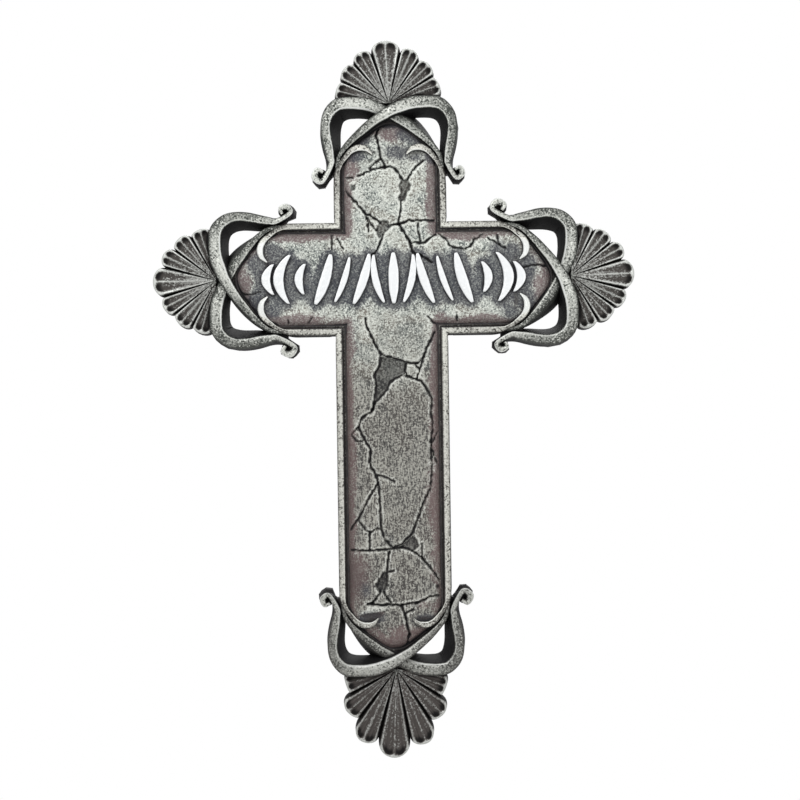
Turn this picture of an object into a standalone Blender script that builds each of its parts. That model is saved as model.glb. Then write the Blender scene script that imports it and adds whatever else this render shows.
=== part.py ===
"""Relief wall cross, cast in resin in one piece, with a flat back and a keyhole to hang it by.

The cross stands upright: +X runs across, +Z up, and the front faces -Y. The back lies in the plane
y = 0, and the origin is on the back where the two beams cross. Every plan is drawn as seen from the
front, by (across, up), and each height is measured from the back out towards the viewer.
"""

import math

import bmesh
import bpy
from mathutils import Matrix, Vector

MM = 0.001

# Plan of the beams. A hub is the point where the straps of an end cross and its shell begins.
BEAM_WIDTH = 47.6 * MM
TOP_TO_HUB = 74.2 * MM
LEFT_TO_HUB = 74.2 * MM
RIGHT_TO_HUB = 76.4 * MM
FOOT_TO_HUB = 166.0 * MM
ARM_SHELL_REACH = 27.4 * MM
FOOT_SHELL_REACH = 38.4 * MM

# Depth of the body from the back to the bottom of the grooves, and what rises from there
BODY_DEPTH = 10.6 * MM
RAIL_RISE = 2.8 * MM
PANEL_EDGE_RISE = 0.6 * MM
PANEL_CROWN = 2.0 * MM
STROKE_RISE = 1.8 * MM
CROSSING_RISE = 4.6 * MM

# Heights above the back of what lies outside the beams
SHELL_HUB_TOP = 12.6 * MM
SHELL_RIM_TOP = 9.6 * MM
CURL_FLOOR_TOP = 9.0 * MM
WEB_TOP = 7.0 * MM

# Rail, groove and panel, across one side of a beam
RAIL_WIDTH = 2.6 * MM
GROOVE_WIDTH = 1.8 * MM
PANEL_EDGE_ROUND = 4.4 * MM
RAIL_DRAFT = 0.5 * MM

# Straps and hooks. A strap's sides lean outwards, so that its foot spreads by up to the spread.
STRAP_WIDTH = 5.8 * MM
STRAP_SPREAD = 4.0 * MM
HOOK_WIDTH = 2.7 * MM
HOOK_LIFT = 1.8 * MM
CURL_BAND_WIDTH = 2.6 * MM

# Shells
SHELL_GROOVE_DEPTH = 2.4 * MM
SHELL_FLUTE_DEPTH = 1.1 * MM
SHELL_RIM_WIDTH = 1.5 * MM
SHELL_DRAFT = 0.8 * MM
SHELL_ROOT_RADIUS = 0.9 * MM

# Row of raised strokes on the arms: its distance from the side hubs and from the panel's sides
STROKE_ROW_INSET = 22.3 * MM
STROKE_ROW_MARGIN = 8.6 * MM
STROKE_WIDTH = 4.4 * MM
STROKE_BEVEL = 0.5 * MM

# Keyhole in the back of the upper arm
KEYHOLE_DROP = 34.2 * MM
KEYHOLE_HEAD_RADIUS = 5.2 * MM
KEYHOLE_SLOT_WIDTH = 4.8 * MM
KEYHOLE_SLOT_LENGTH = 10.0 * MM
KEYHOLE_LIP = 2.2 * MM
KEYHOLE_SKIN = 2.2 * MM

# Stations along a curved strip are left out while it bends by less, up to a longest span. On the inside of
# a bend a foot spreads no further than a share of the room there, and a mitre is never sharper than a limit.
LEAST_BEND = math.radians(10)
LONGEST_SPAN = 8.0 * MM
CURVE_STEPS = 3
BEND_ROOM = 0.9
MITRE_LIMIT = 0.5

# Pieces start this far behind the back, each kind at its own depth, and are then cut off flat
BURIED = 1.0 * MM
BURIED_STEP = 0.3 * MM

HALF = BEAM_WIDTH / 2
RAIL_CENTRE = HALF - RAIL_WIDTH / 2
PANEL_HALF = HALF - RAIL_WIDTH - GROOVE_WIDTH
RAIL_TOP = BODY_DEPTH + RAIL_RISE
PANEL_EDGE_TOP = BODY_DEPTH + PANEL_EDGE_RISE
PANEL_TOP = PANEL_EDGE_TOP + PANEL_CROWN
STROKE_TOP = PANEL_TOP + STROKE_RISE

# One strap of an end, from its curl over the shoulder, across the hub and down into the rail. Each row
# is: across and along from the hub as shares of half the beam, and width as a share of the strap's. Then
# come its shape where it runs over and where it runs under the other strap: height above the rail as a
# share of the crossing's rise, and how far the foot spreads on the strap's left and on its right, as
# shares of the strap's spread.
STRAP_ROUTE = (
    (1.040, -1.085, 0.38, (0.30, 0.30, 0.20), (0.30, 0.30, 0.20)),
    (1.050, -0.960, 0.53, (0.34, 0.50, 0.22), (0.34, 0.60, 0.22)),
    (1.080, -0.780, 0.64, (0.38, 0.60, 0.25), (0.38, 0.80, 0.25)),
    (1.120, -0.590, 0.69, (0.40, 0.65, 0.25), (0.40, 0.95, 0.25)),
    (1.134, -0.390, 0.70, (0.42, 0.68, 0.25), (0.42, 1.02, 0.25)),
    (1.095, -0.215, 0.78, (0.44, 0.65, 0.25), (0.44, 1.00, 0.25)),
    (1.005, -0.085, 0.87, (0.46, 0.62, 0.25), (0.44, 0.85, 0.25)),
    (0.870, 0.000, 0.95, (0.50, 0.55, 0.25), (0.40, 0.65, 0.25)),
    (0.630, 0.015, 0.95, (0.60, 0.48, 0.25), (0.30, 0.48, 0.25)),
    (0.390, -0.010, 0.98, (0.78, 0.40, 0.22), (0.18, 0.40, 0.22)),
    (0.205, -0.075, 0.93, (0.92, 0.30, 0.20), (0.08, 0.30, 0.30)),
    (0.020, -0.155, 0.82, (1.00, 0.15, 0.22), (0.02, 0.15, 0.65)),
    (-0.280, -0.335, 0.69, (0.80, 0.12, 0.30), (0.06, 0.12, 1.00)),
    (-0.515, -0.520, 0.59, (0.52, 0.12, 0.35), (0.10, 0.12, 0.80)),
    (-0.640, -0.625, 0.52, (0.36, 0.12, 0.30), (0.10, 0.12, 0.55)),
    (-0.815, -0.805, 0.38, (0.14, 0.10, 0.18), (0.06, 0.10, 0.22)),
    (-0.910, -0.965, 0.32, (0.00, 0.08, 0.10), (0.00, 0.08, 0.10)),
    (-0.945, -1.155, 0.26, (-0.08, 0.08, 0.08), (-0.08, 0.08, 0.08)),
)
# The curl at the strap's lower end, from the strap's foot inwards: its centre and its size where the
# strap runs over and where it runs under, its radius and width along the turn, and its height and the
# spreads of its foot in the route's shares
OVER_CURL = (1.205, -1.235, 1.0)
UNDER_CURL = (1.228, -1.262, 1.16)
CURL_TURN = math.radians(315)
CURL_RADII = (0.152, 0.104, 0.100, 0.088, 0.052)
CURL_WIDTHS = (0.80, 0.74, 1.00, 0.74, 0.42)
CURL_LIFT = 0.26
CURL_SPREADS = (0.25, 0.04)

# Section of a strap or a rail between its two feet, from the inner side to the outer: distance from the
# middle and depth below the ridge, as shares of its width
STRIP_SECTION = ((0.50, 0.18), (0.22, 0.00), (-0.34, 0.15), (-0.50, 0.42))

# Rounded edge of the panel: distance in from its side as a share of the round, and height as a share of
# the crown
PANEL_EDGE = ((0.0, 0.0), (0.35, 0.62), (1.0, 1.0))

# Hook at the end of a rail: across and along from the hub as shares of half the beam, width as a
# share of the hook's, and height as a share of its lift above the rail
HOOK_ROUTE = (
    (0.925, -1.180, 0.74, 0.00),
    (0.862, -1.055, 0.66, 0.25),
    (0.786, -0.958, 0.74, 0.50),
    (0.700, -0.862, 0.86, 0.75),
    (0.600, -0.804, 0.97, 0.95),
    (0.500, -0.790, 1.00, 1.00),
    (0.395, -0.822, 0.72, 1.00),
    (0.306, -0.915, 0.16, 0.90),
)

# Half of the outline of an end, from the straight side to the middle: the body, which ends under the
# crossing straps, and the panel, which ends in a pointed arch below them. Each point is across as a share
# of the outline's own half width, and along from the hub as a share of half the beam.
BODY_END = (
    (1.000, -1.155), (0.963, -0.965), (0.862, -0.805), (0.677, -0.625),
    (0.545, -0.520), (0.296, -0.335), (0.000, -0.165),
)
PANEL_END = (
    (1.000, -1.060), (0.950, -0.880), (0.810, -0.745), (0.590, -0.615),
    (0.345, -0.465), (0.150, -0.385), (0.000, -0.362),
)
# Low web that closes the gap between the foot of a strap and the rail beside it
WEB_PLAN = ((0.900, -1.250), (1.050, -1.250), (1.090, -0.860), (0.905, -0.860))

# Lobes of a shell from the middle outwards: where each ends, in degrees from the middle, how far its
# tip reaches and how deep the valley after it lies, as shares of the shell's reach
ARM_LOBES = ((15.5, 1.00, 0.825), (37.0, 0.935, 0.805), (60.0, 0.893, 0.785), (84.0, 0.850, 0.745))
FOOT_LOBES = ((12.5, 1.00, 0.785), (34.5, 0.905, 0.672), (58.5, 0.735, 0.590), (84.0, 0.592, 0.520))
# Columns across a lobe, as shares of its half width, with the share of the flute's depth at each
LOBE_COLUMNS = ((-0.84, 0.0), (-0.42, 1.0), (0.0, 0.35), (0.42, 1.0), (0.84, 0.0))
LOBE_ROWS = (0.0, 0.52, 0.88, 1.0)
# Depth of a groove between lobes at the hub, as a share of its depth further out
GROOVE_START = 0.35

# The raised strokes, slim leaves in five groups: the one in the middle of the row, and those to its left,
# which the right side mirrors. Each row is: foot and head, across as a share of the row's length and up as
# a share of its height, then the bow to the right as a share of the leaf's length, and the width's share.
MIDDLE_STROKE = (0.0, 0.00, 0.0, 1.00, 0.00, 1.00)
LEFT_STROKES = (
    (-0.482, 0.20, -0.482, 0.80, -0.24, 0.86),
    (-0.421, 0.02, -0.414, 0.98, -0.22, 1.00),
    (-0.361, 0.20, -0.354, 0.80, -0.18, 0.80),
    (-0.314, 0.00, -0.250, 0.98, 0.04, 1.00),
    (-0.236, 0.04, -0.175, 0.92, 0.04, 0.60),
    (-0.161, 0.00, -0.096, 0.98, 0.04, 0.86),
    (-0.039, 0.02, -0.079, 0.96, -0.07, 0.70),
)
STROKE_SIDE_POINTS = 5
# Width of a leaf at its foot and head as a share of its full width, and the power that fills out its sides
LEAF_TIP = 0.24
LEAF_FILL = 0.7

# Sides of the round parts: a curl's floor, a hub's boss and each half-round end of a slot
FLOOR_SIDES = 12
BOSS_SIDES = 8
SLOT_END_SIDES = 10

# The four ends, clockwise from the top: turn from upright, distance to the hub, and the shell's reach,
# lobes and lean, with turns and leans in degrees, anticlockwise as seen
ENDS = (
    ("top", 0, TOP_TO_HUB, ARM_SHELL_REACH, ARM_LOBES, 2.5),
    ("right", -90, RIGHT_TO_HUB, ARM_SHELL_REACH, ARM_LOBES, 2.0),
    ("foot", 180, FOOT_TO_HUB, FOOT_SHELL_REACH, FOOT_LOBES, -2.3),
    ("left", 90, LEFT_TO_HUB, ARM_SHELL_REACH, ARM_LOBES, 0.0),
)

RESIN = {"color": (0.30, 0.30, 0.29, 1.0), "roughness": 0.5, "metallic": 0.35}


def upright(across, up, out):
    """A point given as seen from the front, in the object's frame."""
    return Vector((across, -out, up))


def on_end(end, across, along):
    """A plan point measured from the hub of an end, turned into the plan of the whole cross."""
    _, turn, to_hub, _, _, _ = end
    a = math.radians(turn)
    up = to_hub + along
    return (across * math.cos(a) - up * math.sin(a), across * math.sin(a) + up * math.cos(a))


def smooth(rows, steps):
    """Rows on a smooth curve through the given ones, with this many steps in each span."""
    found = []
    last = len(rows) - 1
    for i in range(last):
        before, here, there, after = (rows[min(max(k, 0), last)] for k in (i - 1, i, i + 1, i + 2))
        for step in range(steps):
            t = step / steps
            found.append(
                tuple(
                    0.5 * (2 * b + (c - a) * t + (2 * a - 5 * b + 4 * c - d) * t**2
                           + (3 * b - a - 3 * c + d) * t**3)
                    for a, b, c, d in zip(before, here, there, after)
                )
            )
    return found + [rows[-1]]


def thinned(stations):
    """The stations without those where the way hardly bends."""
    kept = [stations[0]]
    for here, there in zip(stations[1:], stations[2:]):
        since = Vector(here[:2]) - Vector(kept[-1][:2])
        onward = Vector(there[:2]) - Vector(here[:2])
        if since.angle(onward) >= LEAST_BEND or (since + onward).length > LONGEST_SPAN:
            kept.append(here)
    return kept + [stations[-1]]


def side_normals(plan):
    """The unit normal to the left of a plan line at each point, lengthened at a bend so that widths hold."""
    points = [Vector(p) for p in plan]
    spans = [(b - a).normalized() for a, b in zip(points, points[1:])]
    found = []
    for before, after in zip([spans[0]] + spans, spans + [spans[-1]]):
        along = (before + after).normalized()
        square = Vector((-along.y, along.x))
        found.append(square / max(square.dot(Vector((-after.y, after.x))), MITRE_LIMIT))
    return found


def side_room(plan, side):
    """How far each point of a plan line can move to one side, 1 for its left and -1 for its right, before
    the moved line folds over itself on the inside of a bend."""
    points = [Vector(p) for p in plan]
    spans = [b - a for a, b in zip(points, points[1:])]
    bends = [max(0.0, -side * a.angle_signed(b)) for a, b in zip(spans, spans[1:])]
    bends = [0.0] + bends + [0.0]
    rooms = []
    for span, first, second in zip(spans, bends, bends[1:]):
        closing = math.tan(first / 2) + math.tan(second / 2)
        rooms.append(BEND_ROOM * span.length / closing if closing else math.inf)
    return [min(pair) for pair in zip(rooms[:1] + rooms, rooms + rooms[-1:])]


def new_object(name, mesh, collection):
    piece = bpy.data.objects.new(name, mesh)
    collection.objects.link(piece)
    return piece


def helper(name, mesh, collection):
    """An object that a Boolean reads and that isn't part of the model by itself."""
    piece = new_object(name, mesh, collection)
    piece.hide_render = True
    piece.display_type = "WIRE"


def lofted_mesh(name, rings):
    """A closed mesh through rings of equally many points, capped at both ends. Every face is a triangle,
    and so truly flat."""
    bm = bmesh.new()
    made = [[bm.verts.new(point) for point in ring] for ring in rings]
    count = len(rings[0])
    for low, high in zip(made, made[1:]):
        for i in range(count):
            j = (i + 1) % count
            bm.faces.new((low[i], low[j], high[j], high[i]))
    bm.faces.new(made[0])
    bm.faces.new(made[-1])
    bmesh.ops.recalc_face_normals(bm, faces=bm.faces)
    bmesh.ops.triangulate(bm, faces=bm.faces)
    mesh = bpy.data.meshes.new(name)
    bm.to_mesh(mesh)
    bm.free()
    return mesh


def strip_section(width, top, inner_spread, outer_spread, buried):
    """Section of a strap or a rail, as (distance to the inner side, height). Its ridge lies nearer to
    the inner side, and the face falls away from there to the outer side."""
    face = [(aside * width, top - depth * width) for aside, depth in STRIP_SECTION]
    return [(width / 2 + inner_spread, -buried)] + face + [(-width / 2 - outer_spread, -buried)]


def swept_mesh(name, stations, inner, buried):
    """A strip along stations of (across, up, width, top, inner spread, outer spread). Its inner side is to
    the left of the way it runs if inner is 1, and to the right if inner is -1."""
    plan = [station[:2] for station in stations]
    rings = []
    for (across, up, *shape), normal, inner_room, outer_room in zip(
        stations, side_normals(plan), side_room(plan, inner), side_room(plan, -inner)
    ):
        ring = []
        for aside, out in strip_section(*shape, buried):
            aside = max(-outer_room, min(aside, inner_room))
            spot = Vector((across, up)) + normal * aside * inner
            ring.append(upright(spot.x, spot.y, out))
        rings.append(ring)
    return lofted_mesh(name, rings)


def curl_rows(curl):
    """Rows of the curl in the hub's shares, from its inner tip out to the foot of the strap."""
    centre_across, centre_along, size = curl
    rows = []
    last = len(CURL_RADII) - 1
    for i, (radius, width) in enumerate(zip(CURL_RADII, CURL_WIDTHS)):
        angle = math.pi + CURL_TURN * i / last
        across = centre_across + size * radius * math.cos(angle)
        along = centre_along + size * radius * math.sin(angle)
        band = width * size * CURL_BAND_WIDTH / STRAP_WIDTH
        rows.append((across, along, band, CURL_LIFT, *CURL_SPREADS))
    return rows[:0:-1]


def strap_stations(end, over, mirror):
    """Stations of one strap of an end. The one that runs over has its curl on the right."""
    route = [(*row[:3], *row[3 if over else 4]) for row in STRAP_ROUTE]
    rows = curl_rows(OVER_CURL if over else UNDER_CURL) + route
    stations = []
    for across, along, width, lift, left_spread, right_spread in smooth(rows, CURVE_STEPS):
        across, up = on_end(end, mirror * across * HALF, along * HALF)
        top = RAIL_TOP + lift * CROSSING_RISE
        spreads = (left_spread * STRAP_SPREAD, right_spread * STRAP_SPREAD)
        stations.append((across, up, width * STRAP_WIDTH, top, *spreads))
    return thinned(stations)


def add_straps(end, collection):
    for side, over, mirror in (("over", True, 1), ("under", False, -1)):
        name = f"{end[0]}_strap_{side}"
        buried = BURIED + BURIED_STEP * (2 if over else 3)
        stations = strap_stations(end, over, mirror)
        helper(name, swept_mesh(name, stations, mirror, buried), collection)


def hook_stations(end, mirror):
    """Stations of a hook from its tip to the start of the straight rail."""
    stations = []
    for across, along, width, lift in smooth(HOOK_ROUTE, CURVE_STEPS)[::-1]:
        across, up = on_end(end, mirror * across * HALF, along * HALF)
        top = RAIL_TOP + lift * HOOK_LIFT
        stations.append((across, up, width * HOOK_WIDTH, top, RAIL_DRAFT / 2, RAIL_DRAFT / 2))
    return thinned(stations)


def straight_end(end, mirror):
    """Last station of the straight rail, a little before its hook begins."""
    run_out = HOOK_ROUTE[0][1] * HALF - RAIL_WIDTH
    across, up = on_end(end, mirror * RAIL_CENTRE, run_out)
    return (across, up, RAIL_WIDTH, RAIL_TOP, RAIL_DRAFT, RAIL_DRAFT)


def add_rails(collection):
    """Four rails, each from one end's hook round the inner corner to the next end's hook."""
    for first, second in zip(ENDS, ENDS[1:] + ENDS[:1]):
        a, b = math.radians(first[1]), math.radians(second[1])
        corner = (
            -RAIL_CENTRE * (math.sin(a) + math.sin(b)),
            RAIL_CENTRE * (math.cos(a) + math.cos(b)),
        )
        stations = (
            hook_stations(first, 1)
            + [straight_end(first, 1)]
            + [(*corner, RAIL_WIDTH, RAIL_TOP, RAIL_DRAFT, RAIL_DRAFT)]
            + [straight_end(second, -1)]
            + hook_stations(second, -1)[::-1]
        )
        name = f"rail_{first[0]}_{second[0]}"
        helper(name, swept_mesh(name, stations, -1, BURIED + BURIED_STEP), collection)


def cross_outline(half_width, end_shape, inset):
    """Plan of a cross with shaped ends, as points round it, moved inwards by inset."""
    points = []
    for end, following in zip(ENDS, ENDS[1:] + ENDS[:1]):
        left = [(-across, along) for across, along in end_shape[:-1]]
        right = list(end_shape[::-1])
        points += [on_end(end, across * half_width, along * HALF) for across, along in left + right]
        a, b = math.radians(end[1]), math.radians(following[1])
        points.append((
            -half_width * (math.sin(a) + math.sin(b)),
            half_width * (math.cos(a) + math.cos(b)),
        ))
    ring = points[-1:] + points + points[:1]
    normals = side_normals(ring)[1:-1]
    return [Vector(point) - normal * inset for point, normal in zip(points, normals)]


def body_mesh():
    """The body behind the grooves. Its sides end inside the rails and under the crossing straps."""
    outline = cross_outline(RAIL_CENTRE, BODY_END, 0.0)
    rings = [[upright(p.x, p.y, out) for p in outline] for out in (-BURIED, BODY_DEPTH)]
    return lofted_mesh("body", rings)


def add_panel(collection):
    """The raised slab between the rails, with a rounded edge."""
    edge = [(inset * PANEL_EDGE_ROUND, PANEL_EDGE_TOP + rise * PANEL_CROWN) for inset, rise in PANEL_EDGE]
    rings = []
    for inset, out in [(0.0, BODY_DEPTH - BURIED)] + edge:
        outline = cross_outline(PANEL_HALF, PANEL_END, inset)
        rings.append([upright(p.x, p.y, out) for p in outline])
    helper("panel", lofted_mesh("panel", rings), collection)


def add_webs(end, collection):
    for side, mirror in (("right", 1), ("left", -1)):
        plan = [on_end(end, mirror * across * HALF, along * HALF) for across, along in WEB_PLAN]
        buried = BURIED + BURIED_STEP * 4
        rings = [[upright(x, y, out) for x, y in plan] for out in (-buried, WEB_TOP)]
        name = f"{end[0]}_web_{side}"
        helper(name, lofted_mesh(name, rings), collection)


def add_post(name, spot, foot_radius, radius, top, buried, sides, collection):
    """A round post that stands out from the back, centred on a plan point and tapered to its top."""
    bm = bmesh.new()
    bmesh.ops.create_cone(
        bm, cap_ends=True, segments=sides, radius1=foot_radius, radius2=radius, depth=top + buried,
        matrix=Matrix.Translation(upright(*spot, (top - buried) / 2)) @ Matrix.Rotation(math.pi / 2, 4, "X"),
    )
    mesh = bpy.data.meshes.new(name)
    bm.to_mesh(mesh)
    bm.free()
    helper(name, mesh, collection)


def add_curl_floors(end, collection):
    """The curls are blind: a tapered disc closes each one below its rim."""
    buried = BURIED + BURIED_STEP * 5
    for side, mirror, curl in (("right", 1, OVER_CURL), ("left", -1, UNDER_CURL)):
        radius = CURL_RADII[1] * HALF * curl[2]
        spot = on_end(end, mirror * curl[0] * HALF, curl[1] * HALF)
        name = f"{end[0]}_curl_floor_{side}"
        add_post(name, spot, radius + RAIL_DRAFT, radius, CURL_FLOOR_TOP, buried, FLOOR_SIDES, collection)


def lobe_columns(lobes):
    """Columns across a whole shell: angle from the middle, outline's share of the reach, groove's share
    and flute's share of their depths."""
    right = []
    start = 0.0
    for number, (finish, tip, valley) in enumerate(lobes):
        first = -lobes[0][0] if number == 0 else start
        inner_valley = lobes[number - 1][2] if number else valley
        middle, half = (first + finish) / 2, (finish - first) / 2
        for t, flute in LOBE_COLUMNS:
            if number == 0 and t < 0:
                continue
            foot = inner_valley if t < 0 else valley
            right.append((middle + t * half, foot + (tip - foot) * math.sqrt(1 - t * t), 0.0, flute))
        right.append((finish, valley, 1.0, 0.0))
        start = finish
    left = [(-angle, reach, groove, flute) for angle, reach, groove, flute in right[:0:-1]]
    return left + right


def shell_height(row, groove, flute):
    """Height of a shell's face: from the hub it falls to the rim, cut by grooves and flutes."""
    crest = SHELL_HUB_TOP + (SHELL_RIM_TOP - SHELL_HUB_TOP) * row
    carved = groove * SHELL_GROOVE_DEPTH * min(1.0, GROOVE_START + row)
    hollow = flute * SHELL_FLUTE_DEPTH * row if row < 1.0 else 0.0
    return crest - carved - hollow


def add_shell(end, collection):
    """A fan of fluted lobes: columns run out from the hub, and rows across the fan."""
    reach, lobes, lean = end[3:]
    rim = 1.0 - SHELL_RIM_WIDTH / reach
    rows = [row if row in (0.0, 1.0) else row * rim / LOBE_ROWS[-2] for row in LOBE_ROWS]
    buried = BURIED + BURIED_STEP * 6
    rings = []
    for angle, share, groove, flute in lobe_columns(lobes):
        a = math.radians(angle - lean)
        ring = []
        for row in rows:
            radius = SHELL_ROOT_RADIUS + (share * reach - SHELL_ROOT_RADIUS) * row
            x, y = on_end(end, radius * math.sin(a), radius * math.cos(a))
            ring.append(upright(x, y, shell_height(row, groove, flute)))
        for radius in (share * reach + SHELL_DRAFT, SHELL_ROOT_RADIUS):
            x, y = on_end(end, radius * math.sin(a), radius * math.cos(a))
            ring.append(upright(x, y, -buried))
        rings.append(ring)
    name = f"{end[0]}_shell"
    helper(name, lofted_mesh(name, rings), collection)


def add_hub(end, collection):
    """A boss behind the crossing that ties the straps, the shell and the floor together."""
    radius = STRAP_WIDTH / 2
    buried = BURIED + BURIED_STEP * 7
    spot = on_end(end, 0.0, -radius / 2)
    add_post(f"{end[0]}_hub", spot, radius, radius, SHELL_RIM_TOP, buried, BOSS_SIDES, collection)


def stroke_outline(foot, head, bow, width):
    """Plan of one slim leaf from its foot to its head, bowed to the right of the way it points."""
    foot, head = Vector(foot), Vector(head)
    along = head - foot
    aside = Vector((along.y, -along.x)).normalized()
    sides = ([], [])
    for i in range(STROKE_SIDE_POINTS + 1):
        t = i / STROKE_SIDE_POINTS
        middle = foot + along * t + aside * bow * along.length * 4 * t * (1 - t)
        half = width / 2 * (LEAF_TIP + (1 - LEAF_TIP) * math.sin(math.pi * t) ** LEAF_FILL)
        sides[0].append(middle + aside * half)
        sides[1].append(middle - aside * half)
    return sides[0] + sides[1][::-1]


def add_strokes(collection):
    """The row of raised strokes in the place of an inscription. No two touch, and none is a letter."""
    row_length = LEFT_TO_HUB + RIGHT_TO_HUB - 2 * STROKE_ROW_INSET
    row_middle = (RIGHT_TO_HUB - LEFT_TO_HUB) / 2
    height = 2 * (PANEL_HALF - STROKE_ROW_MARGIN)
    right = [(-foot_x, foot_y, -head_x, head_y, -bow, width)
             for foot_x, foot_y, head_x, head_y, bow, width in LEFT_STROKES[::-1]]
    strokes = [*LEFT_STROKES, MIDDLE_STROKE, *right]
    for number, (foot_x, foot_y, head_x, head_y, bow, width) in enumerate(strokes, start=1):
        foot = (row_middle + foot_x * row_length, (foot_y - 0.5) * height)
        head = (row_middle + head_x * row_length, (head_y - 0.5) * height)
        rings = []
        for out, slimmer in (
            (PANEL_TOP - BURIED, 0.0),
            (STROKE_TOP - STROKE_BEVEL, 0.0),
            (STROKE_TOP, 2 * STROKE_BEVEL),
        ):
            outline = stroke_outline(foot, head, bow, width * STROKE_WIDTH - slimmer)
            rings.append([upright(p.x, p.y, out) for p in outline])
        name = f"stroke_{number:02d}"
        helper(name, lofted_mesh(name, rings), collection)


def rounded_slot(name, half_width, low, high, shallow, deep, collection):
    """A cutter with half-round ends, from one depth behind the back's plane to another."""
    plan = []
    for centre, start in ((high, 0.0), (low, math.pi)):
        for i in range(SLOT_END_SIDES + 1):
            angle = start + math.pi * i / SLOT_END_SIDES
            plan.append((half_width * math.cos(angle), centre + half_width * math.sin(angle)))
    rings = [[upright(x, y, out) for x, y in plan] for out in (shallow, deep)]
    helper(name, lofted_mesh(name, rings), collection)


def add_cutters(collection):
    """What is taken off at the back: everything behind the plane, and the keyhole."""
    size = 2 * (TOP_TO_HUB + FOOT_TO_HUB + FOOT_SHELL_REACH)
    bm = bmesh.new()
    bmesh.ops.create_cube(bm, size=size, matrix=Matrix.Translation((0, size / 2, 0)))
    mesh = bpy.data.meshes.new("behind_the_back")
    bm.to_mesh(mesh)
    bm.free()
    helper(mesh.name, mesh, collection)

    low = TOP_TO_HUB - KEYHOLE_DROP
    high = low + KEYHOLE_SLOT_LENGTH
    deep = BODY_DEPTH - KEYHOLE_SKIN
    inside = (KEYHOLE_LIP + deep) / 2
    rounded_slot("keyhole_mouth", KEYHOLE_HEAD_RADIUS, low, low, -BURIED, inside, collection)
    rounded_slot("keyhole_slot", KEYHOLE_SLOT_WIDTH / 2, low, high, -2 * BURIED, inside, collection)
    rounded_slot("keyhole_chamber", KEYHOLE_HEAD_RADIUS + BURIED_STEP, low, high,
                 KEYHOLE_LIP, deep, collection)


def resin_material():
    material = bpy.data.materials.new("silvered_resin")
    material.use_nodes = True
    shader = material.node_tree.nodes["Principled BSDF"]
    shader.inputs["Base Color"].default_value = RESIN["color"]
    shader.inputs["Roughness"].default_value = RESIN["roughness"]
    shader.inputs["Metallic"].default_value = RESIN["metallic"]
    return material


def new_collection(name):
    collection = bpy.data.collections.new(name)
    bpy.context.scene.collection.children.link(collection)
    return collection


def add_boolean(piece, name, operation, collection):
    modifier = piece.modifiers.new(name, "BOOLEAN")
    modifier.operation = operation
    modifier.solver = "EXACT"
    modifier.operand_type = "COLLECTION"
    modifier.collection = collection


def main():
    for old in list(bpy.data.objects):
        bpy.data.objects.remove(old)

    casting = new_collection("Wall cross")
    relief = new_collection("Relief joined to the body")
    cutters = new_collection("Cutters")

    add_rails(relief)
    add_panel(relief)
    for end in ENDS:
        add_straps(end, relief)
        add_webs(end, relief)
        add_curl_floors(end, relief)
        add_shell(end, relief)
        add_hub(end, relief)
    add_strokes(relief)
    add_cutters(cutters)

    cross = new_object("cross", body_mesh(), casting)
    add_boolean(cross, "Join the relief", "UNION", relief)
    add_boolean(cross, "Cut the back", "DIFFERENCE", cutters)
    cross.data.materials.append(resin_material())


main()
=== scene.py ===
"""The finished look of a cast resin wall cross: silver over a dark wash, round a cracked stone panel.

Plans are drawn as seen from the front, by (across, up), and a height is measured from the flat back out
towards the viewer. Both are in millimetres until a mesh is made.
"""

import math

import bpy
import numpy as np
from mathutils import Matrix, Vector


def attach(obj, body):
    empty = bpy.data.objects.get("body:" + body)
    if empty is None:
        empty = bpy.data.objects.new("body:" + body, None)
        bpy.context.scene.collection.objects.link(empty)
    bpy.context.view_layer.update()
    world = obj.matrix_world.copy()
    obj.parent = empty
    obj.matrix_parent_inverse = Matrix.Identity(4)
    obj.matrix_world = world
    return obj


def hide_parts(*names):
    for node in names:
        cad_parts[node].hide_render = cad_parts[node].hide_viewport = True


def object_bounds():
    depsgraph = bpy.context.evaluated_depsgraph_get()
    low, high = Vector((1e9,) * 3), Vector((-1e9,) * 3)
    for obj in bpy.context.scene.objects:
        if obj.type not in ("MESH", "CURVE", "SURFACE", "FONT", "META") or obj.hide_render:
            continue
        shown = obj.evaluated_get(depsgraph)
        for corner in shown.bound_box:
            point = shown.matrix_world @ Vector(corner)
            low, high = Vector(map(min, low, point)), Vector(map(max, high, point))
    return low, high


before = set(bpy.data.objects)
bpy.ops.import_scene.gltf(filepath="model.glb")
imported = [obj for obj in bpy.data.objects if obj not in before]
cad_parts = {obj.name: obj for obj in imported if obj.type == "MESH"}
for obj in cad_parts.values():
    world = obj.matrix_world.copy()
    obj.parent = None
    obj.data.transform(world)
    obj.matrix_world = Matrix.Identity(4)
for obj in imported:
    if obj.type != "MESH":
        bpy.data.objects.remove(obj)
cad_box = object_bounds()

MM = 0.001

# The casting's driving sizes
BEAM_WIDTH = 47.6
TOP_TO_HUB = 74.2
LEFT_TO_HUB = 74.2
RIGHT_TO_HUB = 76.4
FOOT_TO_HUB = 166.0
ARM_SHELL_REACH = 27.4
FOOT_SHELL_REACH = 38.4
BODY_DEPTH = 10.6
RAIL_RISE = 2.8
PANEL_EDGE_RISE = 0.6
PANEL_CROWN = 2.0
STROKE_RISE = 1.8
CROSSING_RISE = 4.6
SHELL_HUB_TOP = 12.6
SHELL_RIM_TOP = 9.6
CURL_FLOOR_TOP = 9.0
WEB_TOP = 7.0
RAIL_WIDTH = 2.6
GROOVE_WIDTH = 1.8
PANEL_EDGE_ROUND = 4.4
RAIL_DRAFT = 0.5
STRAP_WIDTH = 5.8
STRAP_SPREAD = 4.0
HOOK_WIDTH = 2.7
HOOK_LIFT = 1.8
CURL_BAND_WIDTH = 2.6
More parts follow.
